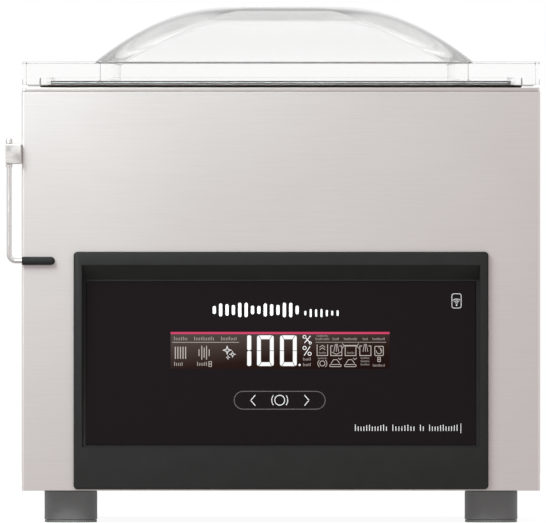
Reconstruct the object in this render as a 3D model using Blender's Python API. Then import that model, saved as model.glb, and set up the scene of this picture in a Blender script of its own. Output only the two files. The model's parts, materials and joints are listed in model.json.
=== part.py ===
"""Tabletop chamber vacuum packing machine: stainless casing on four feet, deep-drawn chamber,
clear domed lid on a rear hinge with a gas strut, lifting seal bar, touch control panel, swing arm
on the left side, and the pump, valves, transformer and boards that it holds inside.

Metres, +Z up, the front faces -Y. Positions are measured from the casing's centre line on the
surface that the machine stands on; the "machine" empty then centres the whole object on X and Y.
"""
import math

import bmesh
import bpy
from mathutils import Matrix, Vector

# Clearance between pieces that touch, and the sheet metal's thickness
GAP = 0.0003
SHEET = 0.0015

# Casing
CASING_HALF_WIDTH = 0.2075
CASING_FRONT = -0.240
CASING_REAR = 0.240
CASING_BOTTOM = 0.0258
CASING_TOP = 0.3453
CASING_CORNER = 0.003

# Deck and chamber: one welded stainless piece
DECK_HALF_WIDTH = 0.207
DECK_UNDERSIDE = 0.3456
DECK_TOP = 0.3484
CHAMBER_HALF_WIDTH = 0.175
CHAMBER_FRONT = -0.207
CHAMBER_REAR = 0.160
CHAMBER_FLOOR = 0.238
CHAMBER_CORNER = 0.030

# Lid: a clear slab with a blown dome
LID_HALF_WIDTH = 0.207
LID_FRONT = -0.239
LID_REAR = 0.196
LID_UNDERSIDE = 0.3506
LID_TOP = 0.3692
DOME_CENTRE = Vector((0.0026, -0.003, 0.0))
DOME_HALF_WIDTH = 0.1535
DOME_HALF_DEPTH = 0.1415
DOME_RISE = 0.0461
DOME_WALL = 0.0034
DOME_FLAT_SHARE = 0.349
DOME_FALL = 1.827
OPENING_HALF_WIDTH = 0.1495

# Lid seal
SEAL_CENTRE_Y = -0.0235
SEAL_GROOVE_OUTER = 0.1936
SEAL_GROOVE_WIDTH = 0.0110
SEAL_GROOVE_DEPTH = 0.006
SEAL_GROOVE_CORNER = 0.015
SEAL_DEPTH_EXTRA = 0.0083

# Hinge axis, parallel to X, and the lever that the gas strut pushes
HINGE_Y = 0.212
HINGE_Z = 0.3518
HINGE_BLOCK_X = 0.128
LID_HINGE_X = 0.101
SHAFT_RADIUS = 0.003
BARREL_RADIUS = 0.0047
REBATE_FRONT = 0.1805
REBATE_DEPTH = 0.004
STRUT_X = -0.075
LEVER_RADIUS = 0.022
LEVER_ANGLE = math.radians(-72.0)
STRUT_FOOT = Vector((STRUT_X + 0.0061, 0.198, 0.062))
STRUT_LENGTH = 0.26819
STRUT_LEAN = math.radians(1.365)

# Sealing
SEAL_BAR_Y = -0.190
SEAL_BAR_TOP = 0.3280
PISTON_X = 0.115

# Control bezel and touch panel
BEZEL_HALF_WIDTH = 0.166
BEZEL_BOTTOM = 0.0269
BEZEL_TOP = 0.2170
BEZEL_FRONT = -0.2463
RECESS_HALF_WIDTH = 0.1596
RECESS_BOTTOM = 0.0604
RECESS_TOP = 0.2062
PANEL_HALF_WIDTH = 0.156
PANEL_BOTTOM = 0.0624
PANEL_TOP = 0.1931
PANEL_FRONT_LOW = -0.2442
PANEL_FRONT_HIGH = -0.2342
PANEL_THICKNESS = 0.003

# Feet
FOOT_RADIUS = 0.0212
FOOT_X_FRONT = 0.1685
FOOT_X_REAR = 0.1725
FOOT_Y = 0.200

# Swing arm on the left side
ARM_X = -0.2176
ARM_Y = -0.2445
ARM_ROD_RADIUS = 0.002
ARM_BOTTOM = 0.2097
ARM_TOP = 0.3074
ARM_BEND = 0.0055
ARM_BLOCK_LEFT = -0.2203
ARM_BLOCK_FRONT = -0.2495

# Pump set
SHAFT_LINE_Y = 0.060
SHAFT_LINE_Z = 0.105

# Rear fittings
REAR_PANEL_FACE = CASING_REAR + GAP + SHEET
FAN_CENTRE = Vector((0.140, 0.0, 0.110))
INLET_CENTRE = Vector((-0.165, 0.0, 0.075))
SWITCH_CENTRE = Vector((-0.118, 0.0, 0.075))
SWITCH_TILT = math.radians(8.0)
GAS_INLET = Vector((-0.165, 0.0, 0.130))
GAS_INLET_REACH = 0.020

# The object's box, from its outermost pieces
BOX_LEFT = ARM_BLOCK_LEFT
BOX_RIGHT = CASING_HALF_WIDTH
BOX_FRONT = ARM_BLOCK_FRONT
BOX_REAR = REAR_PANEL_FACE + GAP + GAS_INLET_REACH

# Base colour, metallic and roughness of each material
MATERIALS = {
    "stainless": ((0.72, 0.69, 0.67), 1.0, 0.35),
    "polished_steel": ((0.75, 0.75, 0.75), 1.0, 0.15),
    "aluminium": ((0.70, 0.71, 0.73), 1.0, 0.40),
    "acrylic": ((0.92, 0.94, 0.95), 0.0, 0.05),
    "silicone": ((0.12, 0.08, 0.07), 0.0, 0.60),
    "red_silicone": ((0.45, 0.10, 0.07), 0.0, 0.55),
    "black_rubber": ((0.03, 0.03, 0.03), 0.0, 0.70),
    "charcoal_plastic": ((0.035, 0.035, 0.035), 0.0, 0.55),
    "gloss_black": ((0.012, 0.010, 0.011), 0.0, 0.08),
    "display": ((0.08, 0.07, 0.07), 0.0, 0.20),
    "circuit_board": ((0.05, 0.25, 0.12), 0.0, 0.50),
    "white_board": ((0.85, 0.86, 0.85), 0.0, 0.45),
    "ptfe_tape": ((0.40, 0.28, 0.16), 0.0, 0.50),
    "pump_paint": ((0.22, 0.25, 0.28), 0.3, 0.45),
    "glass": ((0.80, 0.70, 0.35), 0.0, 0.05),
    "copper": ((0.60, 0.30, 0.15), 1.0, 0.35),
    "hose": ((0.05, 0.05, 0.05), 0.0, 0.50),
    "brass": ((0.70, 0.52, 0.22), 1.0, 0.25),
}

QUARTER = math.pi / 2
TOWARDS = {
    "X": Matrix.Rotation(QUARTER, 4, "Y"),
    "Y": Matrix.Rotation(-QUARTER, 4, "X"),
    "Z": Matrix.Identity(4),
}


def clear_scene():
    for old in list(bpy.data.objects):
        bpy.data.objects.remove(old)


def make_material(name):
    colour, metallic, roughness = MATERIALS[name]
    material = bpy.data.materials.new(name)
    material.use_nodes = True
    shader = material.node_tree.nodes["Principled BSDF"]
    shader.inputs["Base Color"].default_value = (*colour, 1.0)
    shader.inputs["Metallic"].default_value = metallic
    shader.inputs["Roughness"].default_value = roughness
    return material


def make_machine_empty():
    empty = bpy.data.objects.new("machine", None)
    empty.location = (-(BOX_LEFT + BOX_RIGHT) / 2, -(BOX_FRONT + BOX_REAR) / 2, 0.0)
    bpy.context.collection.objects.link(empty)
    return empty


clear_scene()
MACHINE = make_machine_empty()
FINISH = {name: make_material(name) for name in MATERIALS}


# ---- Shape builders: each returns a bmesh in the machine's own coordinates

def loft(rings, closed=False):
    """Skin a list of rings with equally many points; capped at both ends unless closed."""
    bm = bmesh.new()
    levels = [[bm.verts.new(point) for point in ring] for ring in rings]
    pairs = list(zip(levels, levels[1:]))
    if closed:
        pairs.append((levels[-1], levels[0]))
    else:
        bm.faces.new(levels[0])
        bm.faces.new(levels[-1])
    count = len(levels[0])
    for low, high in pairs:
        for i in range(count):
            j = (i + 1) % count
            bm.faces.new((low[i], low[j], high[j], high[i]))
    bmesh.ops.recalc_face_normals(bm, faces=bm.faces)
    return bm


def rounded_ring(half_x, half_y, radius, z, centre=(0.0, 0.0), corner_steps=5):
    """A rounded rectangle in the XY plane."""
    ring = []
    for quadrant in range(4):
        sign_x = 1 if quadrant in (0, 3) else -1
        sign_y = 1 if quadrant in (0, 1) else -1
        for step in range(corner_steps + 1):
            angle = QUARTER * (quadrant + step / corner_steps)
            x = centre[0] + sign_x * (half_x - radius) + radius * math.cos(angle)
            y = centre[1] + sign_y * (half_y - radius) + radius * math.sin(angle)
            ring.append(Vector((x, y, z)))
    return ring


def box(low, high, bevel=0.0, steps=2):
    """A block from its lowest to its highest corner, with rounded edges where bevel is given."""
    bm = bmesh.new()
    bmesh.ops.create_cube(bm, size=1.0)
    size = Vector(high) - Vector(low)
    middle = (Vector(high) + Vector(low)) / 2
    bmesh.ops.transform(bm, matrix=Matrix.Translation(middle) @ Matrix.Diagonal((*size, 1.0)),
                        verts=bm.verts)
    if bevel:
        bmesh.ops.bevel(bm, geom=list(bm.edges), offset=bevel, segments=steps, profile=0.5,
                        affect="EDGES", clamp_overlap=True)
    return bm


def prism(outline, low, high, axis="X"):
    """Extrude an outline along X (points are y, z), Y (points are x, z) or Z (points are x, y)."""
    spots = {
        "X": lambda point, along: (along, point[0], point[1]),
        "Y": lambda point, along: (point[0], along, point[1]),
        "Z": lambda point, along: (point[0], point[1], along),
    }[axis]
    return loft([[spots(point, along) for point in outline] for along in (low, high)])


def turned(profile, centre, axis="Z", sides=24, closed=False):
    """Turn (radius, height) points about an axis through centre; a ring profile is closed."""
    bm = bmesh.new()
    place = Matrix.Translation(centre) @ TOWARDS[axis]
    levels = []
    for radius, height in profile:
        if radius <= 0.0:
            levels.append([bm.verts.new(place @ Vector((0.0, 0.0, height)))])
            continue
        turn = [2 * math.pi * i / sides for i in range(sides)]
        levels.append([bm.verts.new(place @ Vector((radius * math.cos(a), radius * math.sin(a), height)))
                       for a in turn])
    pairs = list(zip(levels, levels[1:]))
    if closed:
        pairs.append((levels[-1], levels[0]))
    else:
        for level in (levels[0], levels[-1]):
            if len(level) > 1:
                bm.faces.new(level)
    for low, high in pairs:
        for i in range(sides):
            j = (i + 1) % sides
            if len(low) == 1:
                bm.faces.new((low[0], high[j], high[i]))
            elif len(high) == 1:
                bm.faces.new((low[i], low[j], high[0]))
            else:
                bm.faces.new((low[i], low[j], high[j], high[i]))
    bmesh.ops.recalc_face_normals(bm, faces=bm.faces)
    return bm


def rod(radius, low, high, centre, axis="Z", sides=20):
    """A plain cylinder between two heights along its axis."""
    return turned([(radius, low), (radius, high)], centre, axis, sides)


def hull(points):
    """The convex body through a few corner points."""
    bm = bmesh.new()
    for point in points:
        bm.verts.new(point)
    bmesh.ops.convex_hull(bm, input=bm.verts)
    bmesh.ops.recalc_face_normals(bm, faces=bm.faces)
    return bm


def arc(centre, radius, start, end, steps):
    """Points of a circular arc in a plane, angles in degrees."""
    points = []
    for i in range(steps + 1):
        angle = math.radians(start + (end - start) * i / steps)
        points.append((centre[0] + radius * math.cos(angle), centre[1] + radius * math.sin(angle)))
    return points


def smooth_route(knots, step):
    """A Catmull-Rom curve through the knots, sampled about every step metres."""
    points = [Vector(knot) for knot in knots]
    padded = [2 * points[0] - points[1]] + points + [2 * points[-1] - points[-2]]
    route = []
    for a, b, c, d in zip(padded, padded[1:], padded[2:], padded[3:]):
        count = max(2, round((c - b).length / step))
        for i in range(count):
            t = i / count
            route.append(0.5 * (2 * b + (c - a) * t + (2 * a - 5 * b + 4 * c - d) * t ** 2
                                + (3 * b - a - 3 * c + d) * t ** 3))
    route.append(points[-1])
    return route


# ---- Objects

def add(name, bm, finish, pivot=(0.0, 0.0, 0.0), smooth=True):
    """Make a named object whose origin is its pivot and hang it on the machine."""
    bmesh.ops.translate(bm, verts=bm.verts, vec=-Vector(pivot))
    mesh = bpy.data.meshes.new(name)
    bm.to_mesh(mesh)
    bm.free()
    mesh.materials.append(FINISH[finish])
    if smooth:
        mesh.shade_smooth()
        mesh.set_sharp_from_angle(angle=math.radians(35.0))
    obj = bpy.data.objects.new(name, mesh)
    obj.location = pivot
    obj.parent = MACHINE
    bpy.context.collection.objects.link(obj)
    return obj


def combine(obj, bm, operation):
    """Cut a shape out of an object, or weld one to it, with a Boolean."""
    tool = add(f"tool_{operation.lower()}_{obj.name}", bm, "stainless", smooth=False)
    tool.hide_render = True
    tool.display_type = "WIRE"
    modifier = obj.modifiers.new(operation.lower(), "BOOLEAN")
    modifier.operation = operation
    modifier.solver = "EXACT"
    modifier.object = tool


def cut(obj, *shapes):
    for shape in shapes:
        combine(obj, shape, "DIFFERENCE")


def weld(obj, *shapes):
    for shape in shapes:
        combine(obj, shape, "UNION")


def add_hose(name, knots, radius, step):
    """A solid hose along a smooth route."""
    curve = bpy.data.curves.new(name, "CURVE")
    curve.dimensions = "3D"
    curve.bevel_depth = radius
    curve.bevel_resolution = 2
    curve.use_fill_caps = True
    route = smooth_route(knots, step)
    spline = curve.splines.new("POLY")
    spline.points.add(len(route) - 1)
    for point, place in zip(spline.points, route):
        point.co = (*place, 1.0)
    curve.materials.append(FINISH["hose"])
    obj = bpy.data.objects.new(name, curve)
    obj.parent = MACHINE
    bpy.context.collection.objects.link(obj)
    return obj


# ---- Casing, base and rear panel

def make_casing():
    middle = (0.0, (CASING_FRONT + CASING_REAR) / 2)
    half_depth = (CASING_REAR - CASING_FRONT) / 2

    def ring(inset, z):
        radius = max(CASING_CORNER - inset, 0.001)
        return rounded_ring(CASING_HALF_WIDTH - inset, half_depth - inset, radius, z, middle, 3)

    casing = add("body_casing", loft([ring(0.0, CASING_BOTTOM), ring(0.0, CASING_TOP),
                                      ring(SHEET, CASING_TOP), ring(SHEET, CASING_BOTTOM)],
                                     closed=True), "stainless")
    window = box((-0.1622, CASING_FRONT - 0.01, 0.050), (0.1622, CASING_FRONT + 0.01, 0.210))
    service_opening = box((-0.190, CASING_REAR - 0.01, 0.040), (0.190, CASING_REAR + 0.01, 0.325))
    cut(casing, window, service_opening)


def make_base_plate():
    inset = SHEET + GAP
    half_width = CASING_HALF_WIDTH - inset
    half_depth = (CASING_REAR - CASING_FRONT) / 2 - inset
    bottom = CASING_BOTTOM + GAP
    flange_top = bottom + 0.012

    def ring(step_in, z):
        return rounded_ring(half_width - step_in, half_depth - step_in, 0.0015, z, corner_steps=2)

    plate = add("base_plate", loft([ring(0.0, bottom), ring(0.0, flange_top),
                                    ring(SHEET, flange_top), ring(SHEET, bottom + SHEET)]), "stainless")
    slot_length = 0.080
    for i in range(6):
        y = 0.020 + 0.016 * i
        cut(plate, box((-slot_length / 2, y, bottom - 0.01), (slot_length / 2, y + 0.006, bottom + 0.01)))


def make_rear_panel():
    front = CASING_REAR + GAP
    panel = add("rear_panel", box((-0.200, front, 0.034), (0.200, front + SHEET, 0.332)), "stainless")
    reach = 0.02
    slot_height = 0.0035

    def through(x, z, half_x, half_z):
        cut(panel, box((x - half_x, front - reach, z - half_z), (x + half_x, front + reach, z + half_z)))

    for row in range(8):
        z = FAN_CENTRE.z + (row - 3.5) * 0.0095
        half_chord = math.sqrt(0.038 ** 2 - (z - FAN_CENTRE.z) ** 2)
        through(FAN_CENTRE.x, z, half_chord, slot_height / 2)
    for column in (-0.09, 0.0, 0.09):
        for row in range(5):
            through(column, 0.250 + 0.012 * row, 0.032, slot_height / 2)
    through(INLET_CENTRE.x, INLET_CENTRE.z, 0.0140, 0.0105)
    through(SWITCH_CENTRE.x, SWITCH_CENTRE.z, 0.0110, 0.0145)
    cut(panel, rod(0.0053, -reach, reach, (GAS_INLET.x, front, GAS_INLET.z), "Y"))


# ---- Deck and chamber

def make_chamber():
    centre = (0.0, (CHAMBER_FRONT + CHAMBER_REAR) / 2)
    half_depth = (CHAMBER_REAR - CHAMBER_FRONT) / 2
    floor_radius = 0.012

    def tub(outset, z, floor_inset=0.0):
        return rounded_ring(CHAMBER_HALF_WIDTH + outset - floor_inset, half_depth + outset - floor_inset,
                            CHAMBER_CORNER + outset - floor_inset, z, centre)

    def deck(z, inset=0.0):
        half_y = (CASING_REAR - CASING_FRONT) / 2 - 0.0005
        return rounded_ring(DECK_HALF_WIDTH - inset, half_y - inset, CASING_CORNER, z)

    rings = []
    for angle in (0.0, 30.0, 60.0, 90.0):
        drop = floor_radius * (1 - math.sin(math.radians(angle)))
        rings.append(tub(0.0, CHAMBER_FLOOR + floor_radius * (1 - math.cos(math.radians(angle))), drop))
    rings += [tub(0.0, DECK_TOP - 0.002), tub(0.0006, DECK_TOP - 0.0006), tub(0.002, DECK_TOP),
              deck(DECK_TOP, 0.0004), deck(DECK_TOP - 0.0004), deck(DECK_UNDERSIDE),
              tub(SHEET, DECK_UNDERSIDE)]
    for angle in (90.0, 45.0, 0.0):
        drop = floor_radius * (1 - math.sin(math.radians(angle)))
        rise = floor_radius * (1 - math.cos(math.radians(angle)))
        rings.append(tub(SHEET, CHAMBER_FLOOR - SHEET + rise, drop))
    chamber = add("chamber_tub", loft(rings), "stainless")
    lever_slot = box((STRUT_X - 0.0045, 0.1830, DECK_UNDERSIDE - 0.01),
                     (STRUT_X + 0.0125, 0.2215, DECK_TOP + 0.01))
    cut(chamber, lever_slot)
    for side in (-1, 1):
        near, far = sorted((side * 0.0840, side * 0.1370))
        cut(chamber, box((near, 0.2040, DECK_UNDERSIDE - 0.01), (far, 0.2200, DECK_TOP + 0.01)))
        cut(chamber, rod(0.0048, -0.02, 0.02, (side * PISTON_X, SEAL_BAR_Y, CHAMBER_FLOOR)))
        cut(chamber, rod(0.0036, -0.02, 0.02, (side * 0.060, -0.172, CHAMBER_FLOOR), sides=12))
    cut(chamber, rod(0.0070, -0.02, 0.02, (0.090, CHAMBER_REAR, 0.322), "Y"))


# ---- Lid

def make_lid():
    lid_centre = (0.0, (LID_FRONT + LID_REAR) / 2)
    lid_half_depth = (LID_REAR - LID_FRONT) / 2
    dome_centre = (DOME_CENTRE.x, DOME_CENTRE.y)
    shares = (1.0, 0.95, 0.89, 0.82, 0.74, 0.65, 0.55, 0.45, DOME_FLAT_SHARE)

    def dome_ring(share, wall=0.0):
        """The dome's surface, or the one a wall's thickness inside it, at a share of its width."""
        fallen = (share - DOME_FLAT_SHARE) / (1 - DOME_FLAT_SHARE)
        slope = (DOME_RISE * DOME_FALL * fallen ** (DOME_FALL - 1)
                 / (DOME_HALF_WIDTH * (1 - DOME_FLAT_SHARE)))
        lean = math.atan(slope)
        inset = wall * math.sin(lean)
        z = LID_TOP + DOME_RISE * (1 - fallen ** DOME_FALL) - wall * math.cos(lean)
        half_y = DOME_HALF_DEPTH * share - inset
        corner = half_y * (0.15 + 0.75 * (1 - share))
        return rounded_ring(DOME_HALF_WIDTH * share - inset, half_y, corner, z, dome_centre)

    def opening(z, inset=0.0):
        half_y = OPENING_HALF_WIDTH + DOME_HALF_DEPTH - DOME_HALF_WIDTH - inset
        return rounded_ring(OPENING_HALF_WIDTH - inset, half_y, 0.021 - inset, z, dome_centre)

    def slab(inset, z, radius=0.002):
        return rounded_ring(LID_HALF_WIDTH - inset, lid_half_depth - inset, radius, z, lid_centre)

    def groove(inset, z):
        return seal_ring(SEAL_GROOVE_OUTER - inset, z)

    edge = 0.0006
    ceiling = LID_UNDERSIDE + SEAL_GROOVE_DEPTH
    cavity = [dome_ring(share, DOME_WALL) for share in reversed(shares)]
    cavity += [opening(LID_TOP - DOME_WALL, -0.0006), opening(LID_TOP - DOME_WALL - 0.0008), opening(LID_UNDERSIDE)]
    underside = [groove(SEAL_GROOVE_WIDTH, LID_UNDERSIDE), groove(SEAL_GROOVE_WIDTH, ceiling),
                 groove(0.0, ceiling), groove(0.0, LID_UNDERSIDE)]
    rim = [slab(edge, LID_UNDERSIDE), slab(0.0, LID_UNDERSIDE + edge), slab(0.0, LID_TOP - edge),
           slab(edge, LID_TOP)]
    dome = [dome_ring(share) for share in shares]
    lid = add("lid", loft(cavity + underside + rim + dome), "acrylic", hinge_point())
    for side in (-1, 1):
        near, far = sorted((side * (LID_HINGE_X - 0.0215), side * (LID_HINGE_X + 0.0215)))
        cut(lid, box((near, REBATE_FRONT, LID_UNDERSIDE - 0.01),
                     (far, LID_REAR + 0.01, LID_UNDERSIDE + REBATE_DEPTH)))


def seal_ring(half_width, z):
    """A rounded rectangle that follows the chamber's rim."""
    radius = SEAL_GROOVE_CORNER - (SEAL_GROOVE_OUTER - half_width)
    return rounded_ring(half_width, half_width + SEAL_DEPTH_EXTRA, radius, z, (0.0, SEAL_CENTRE_Y))


def hinge_point(x=0.0):
    return Vector((x, HINGE_Y, HINGE_Z))


def make_lid_gasket():
    outer = SEAL_GROOVE_OUTER - 0.0004
    inner = SEAL_GROOVE_OUTER - SEAL_GROOVE_WIDTH + 0.0004
    low = DECK_TOP + GAP
    top = LID_UNDERSIDE + SEAL_GROOVE_DEPTH - GAP
    lip = 0.0014
    rings = [seal_ring(outer, low + lip), seal_ring(outer, top), seal_ring(inner, top),
             seal_ring(inner, low + lip), seal_ring(inner + lip, low), seal_ring(outer - lip, low)]
    add("lid_gasket", loft(rings, closed=True), "silicone", hinge_point())


def make_lid_hinges():
    """Leaves let into the slab's underside, each with a barrel round the shaft."""
    leaf_low = LID_UNDERSIDE + GAP
    leaf_high = LID_UNDERSIDE + REBATE_DEPTH - GAP
    outline = [(REBATE_FRONT + GAP, leaf_low), (0.2080, leaf_low)]
    outline += arc((HINGE_Y, HINGE_Z), BARREL_RADIUS, 200.0, 500.0, 14)
    outline += [(0.2080, leaf_high), (REBATE_FRONT + GAP, leaf_high)]
    for side, name in ((-1, "left"), (1, "right")):
        low, high = sorted((side * (LID_HINGE_X - 0.016), side * (LID_HINGE_X + 0.016)))
        hinge = add(f"lid_hinge_{name}", prism(outline, low, high), "stainless", hinge_point())
        cut(hinge, rod(SHAFT_RADIUS + GAP, low - 0.01, high + 0.01, hinge_point(), "X"))


def make_hinge_blocks():
    """Bearing blocks that stand in the deck's slots, with flanges under the deck."""
    flange_top = DECK_UNDERSIDE - GAP
    flange_low = flange_top - 0.0045
    half = BARREL_RADIUS + 0.0015
    outline = [(0.1960, flange_low), (0.2280, flange_low), (0.2280, flange_top),
               (HINGE_Y + half, flange_top), (HINGE_Y + half, HINGE_Z)]
    outline += arc((HINGE_Y, HINGE_Z), BARREL_RADIUS, 0.0, 180.0, 8)
    outline += [(HINGE_Y - half, HINGE_Z), (HINGE_Y - half, flange_top), (0.1960, flange_top)]
    for side, name in ((-1, "left"), (1, "right")):
        low, high = sorted((side * (HINGE_BLOCK_X - 0.008), side * (HINGE_BLOCK_X + 0.008)))
        block = add(f"hinge_block_{name}", prism(outline, low, high), "aluminium")
        cut(block, rod(SHAFT_RADIUS + GAP, low - 0.01, high + 0.01, hinge_point(), "X"))


def make_hinge_shaft():
    half_length = HINGE_BLOCK_X + 0.012
    tip = 0.001
    profile = [(SHAFT_RADIUS - tip, -half_length), (SHAFT_RADIUS, tip - half_length),
               (SHAFT_RADIUS, half_length - tip), (SHAFT_RADIUS - tip, half_length)]
    add("hinge_shaft", turned(profile, hinge_point(), "X", 20), "polished_steel", hinge_point())


def lever_pin():
    """Where the strut pushes on the lever, in the YZ plane."""
    return (HINGE_Y - LEVER_RADIUS * math.cos(LEVER_ANGLE), HINGE_Z + LEVER_RADIUS * math.sin(LEVER_ANGLE))


def make_hinge_lever():
    pin_y, pin_z = lever_pin()
    down = math.degrees(math.atan2(pin_z - HINGE_Z, pin_y - HINGE_Y))
    outline = arc((HINGE_Y, HINGE_Z), BARREL_RADIUS, down + 85.0, down + 275.0, 10)
    outline += arc((pin_y, pin_z), 0.0052, down - 80.0, down + 80.0, 8)
    lever = add("hinge_lever", prism(outline, STRUT_X - 0.003, STRUT_X + 0.003), "stainless", hinge_point())
    cut(lever, rod(SHAFT_RADIUS + GAP, -0.01, 0.01, hinge_point(STRUT_X), "X"))
    pin_profile = [(0.003, -0.002), (0.003, 0.0092), (0.0052, 0.0092), (0.0052, 0.0104)]
    weld(lever, turned(pin_profile, (STRUT_X, pin_y, pin_z), "X", 16))


# ---- Gas strut: the cylinder turns on its foot bracket, the rod slides out of it

def add_leaning(name, bm, finish):
    """A strut piece, modelled upright on the foot pin and leaned back to its rest angle."""
    piece = add(name, bm, finish)
    piece.location = STRUT_FOOT
    piece.rotation_euler.x = -STRUT_LEAN
    return piece


def make_strut():
    eye_width = 0.0025
    cylinder_top = 0.175
    bore = 0.0034
    profile = [(0.0, 0.008), (0.0072, 0.008), (0.0075, 0.0085), (0.0075, cylinder_top - 0.001),
               (0.0065, cylinder_top), (bore, cylinder_top), (bore, 0.020), (0.0, 0.020)]
    cylinder = add_leaning("strut_cylinder", turned(profile, (0, 0, 0), "Z", 20), "charcoal_plastic")
    eye = turned([(0.0033, -eye_width), (0.0065, -eye_width), (0.0065, eye_width), (0.0033, eye_width)],
                 (0, 0, 0), "X", 20, closed=True)
    neck = rod(0.003, 0.0050, 0.0095, (0, 0, 0), "Z", 12)
    for shape in (eye, neck):
        weld_leaning(cylinder, shape)

    rod_bottom = 0.060
    rod_profile = [(0.0025, rod_bottom), (0.003, rod_bottom + 0.0005), (0.003, STRUT_LENGTH - 0.0055)]
    rod_piece = add_leaning("strut_rod", turned(rod_profile, (0, 0, 0), "Z", 16), "polished_steel")
    top_eye = turned([(0.0046, -eye_width), (0.0075, -eye_width), (0.0075, eye_width), (0.0046, eye_width)],
                     (0, 0, STRUT_LENGTH), "X", 20, closed=True)
    weld_leaning(rod_piece, top_eye)


def weld_leaning(obj, bm):
    """Weld a shape that is modelled in the strut's own upright coordinates."""
    weld(obj, bm)
    tool = obj.modifiers[-1].object
    tool.location = STRUT_FOOT
    tool.rotation_euler.x = -STRUT_LEAN


def make_strut_bracket():
    x, y, z = STRUT_FOOT
    base = CASING_BOTTOM + GAP + SHEET + GAP
    inner = 0.0036
    outer = 0.0066
    outline = [(x - outer, base), (x + outer + 0.012, base), (x + outer + 0.012, base + 0.003),
               (x + outer, base + 0.003), (x + outer, z + 0.007), (x + inner, z + 0.007),
               (x + inner, base + 0.003), (x - inner, base + 0.003), (x - inner, z + 0.007),
               (x - outer, z + 0.007)]
    bracket = add("strut_bracket", prism(outline, y - 0.009, y + 0.009, "Y"), "stainless", smooth=False)
    weld(bracket, rod(0.003, -0.0050, 0.0050, (x, y, z), "X", 16))


# ---- Sealing gear

def make_sealing():
    low = SEAL_BAR_TOP - 0.016
    outline = [(-0.009, low), (0.009, low), (0.009, SEAL_BAR_TOP - 0.004), (0.0065, SEAL_BAR_TOP - 0.004),
               (0.0065, SEAL_BAR_TOP), (-0.0065, SEAL_BAR_TOP), (-0.0065, SEAL_BAR_TOP - 0.004),
               (-0.009, SEAL_BAR_TOP - 0.004)]
    outline = [(SEAL_BAR_Y + y, z) for y, z in outline]
    add("seal_bar", prism(outline, -0.158, 0.158), "aluminium", smooth=False)
    tape_low = SEAL_BAR_TOP + GAP
    tape = [(SEAL_BAR_Y + y, tape_low + z) for y, z in
            ((-0.006, 0.0), (0.006, 0.0), (0.006, 0.0004), (0.002, 0.0009), (-0.002, 0.0009), (-0.006, 0.0004))]
    add("seal_tape", prism(tape, -0.155, 0.155), "ptfe_tape", smooth=False)

    strip_low = SEAL_BAR_TOP + 0.0095
    strip_top = strip_low + 0.0046
    strip = [(SEAL_BAR_Y + y, z) for y, z in
             ((-0.005, strip_low), (0.005, strip_low), (0.006, strip_top), (-0.006, strip_top))]
    add("counter_strip", prism(strip, -0.157, 0.157), "red_silicone", hinge_point(), smooth=False)
    bar_low = strip_low + 0.0022
    bar_top = LID_UNDERSIDE - GAP
    bar = [(-0.010, bar_low), (-0.0065, bar_low), (-0.0065, strip_top + GAP), (0.0065, strip_top + GAP),
           (0.0065, bar_low), (0.010, bar_low), (0.010, bar_top), (-0.010, bar_top)]
    add("counter_bar", prism([(SEAL_BAR_Y + y, z) for y, z in bar], -0.160, 0.160), "aluminium",
        hinge_point(), smooth=False)

    for side, name in ((-1, "left"), (1, "right")):
        spot = (side * PISTON_X, SEAL_BAR_Y, 0.0)
        piston = [(0.004, 0.222), (0.004, low - 0.006), (0.006, low - 0.006), (0.006, low - GAP)]
        add(f"seal_piston_{name}", turned(piston, spot, "Z", 16), "polished_steel")
        barrel_top = CHAMBER_FLOOR - SHEET - GAP
        barrel = [(0.0, 0.190), (0.014, 0.190), (0.015, 0.191), (0.015, barrel_top - 0.001),
                  (0.014, barrel_top), (0.0044, barrel_top), (0.0044, 0.208), (0.0, 0.208)]
        add(f"seal_cylinder_{name}", turned(barrel, spot, "Z", 24), "aluminium")
        nozzle = [(0.0032, 0.212), (0.0032, 0.318), (0.0022, 0.322), (0.0012, 0.322), (0.0012, 0.300),
                  (0.0, 0.300)]
        add(f"gas_nozzle_{name}", turned([(0.0, 0.212)] + nozzle, (side * 0.060, -0.172, 0.0), "Z", 12),
            "polished_steel")


def make_chamber_fittings():
    board_low = CHAMBER_FLOOR + GAP
    edge = 0.003
    board = [rounded_ring(0.162 - inset, 0.1545 - inset, 0.024, board_low + height, (0.0, -0.0075))
             for inset, height in ((edge, 0.0), (0.0, edge), (0.0, 0.020 - edge), (edge, 0.020))]
    add("filler_plate", loft(board), "white_board")
    nozzle = [(0.0065, 0.014), (0.0065, -0.0003), (0.013, -0.0003), (0.013, -0.0035), (0.008, -0.007),
              (0.004, -0.007), (0.004, 0.014)]
    add("suction_nozzle", turned(nozzle, (0.090, CHAMBER_REAR, 0.322), "Y", 20, closed=True), "polished_steel")


# ---- Control front

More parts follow.
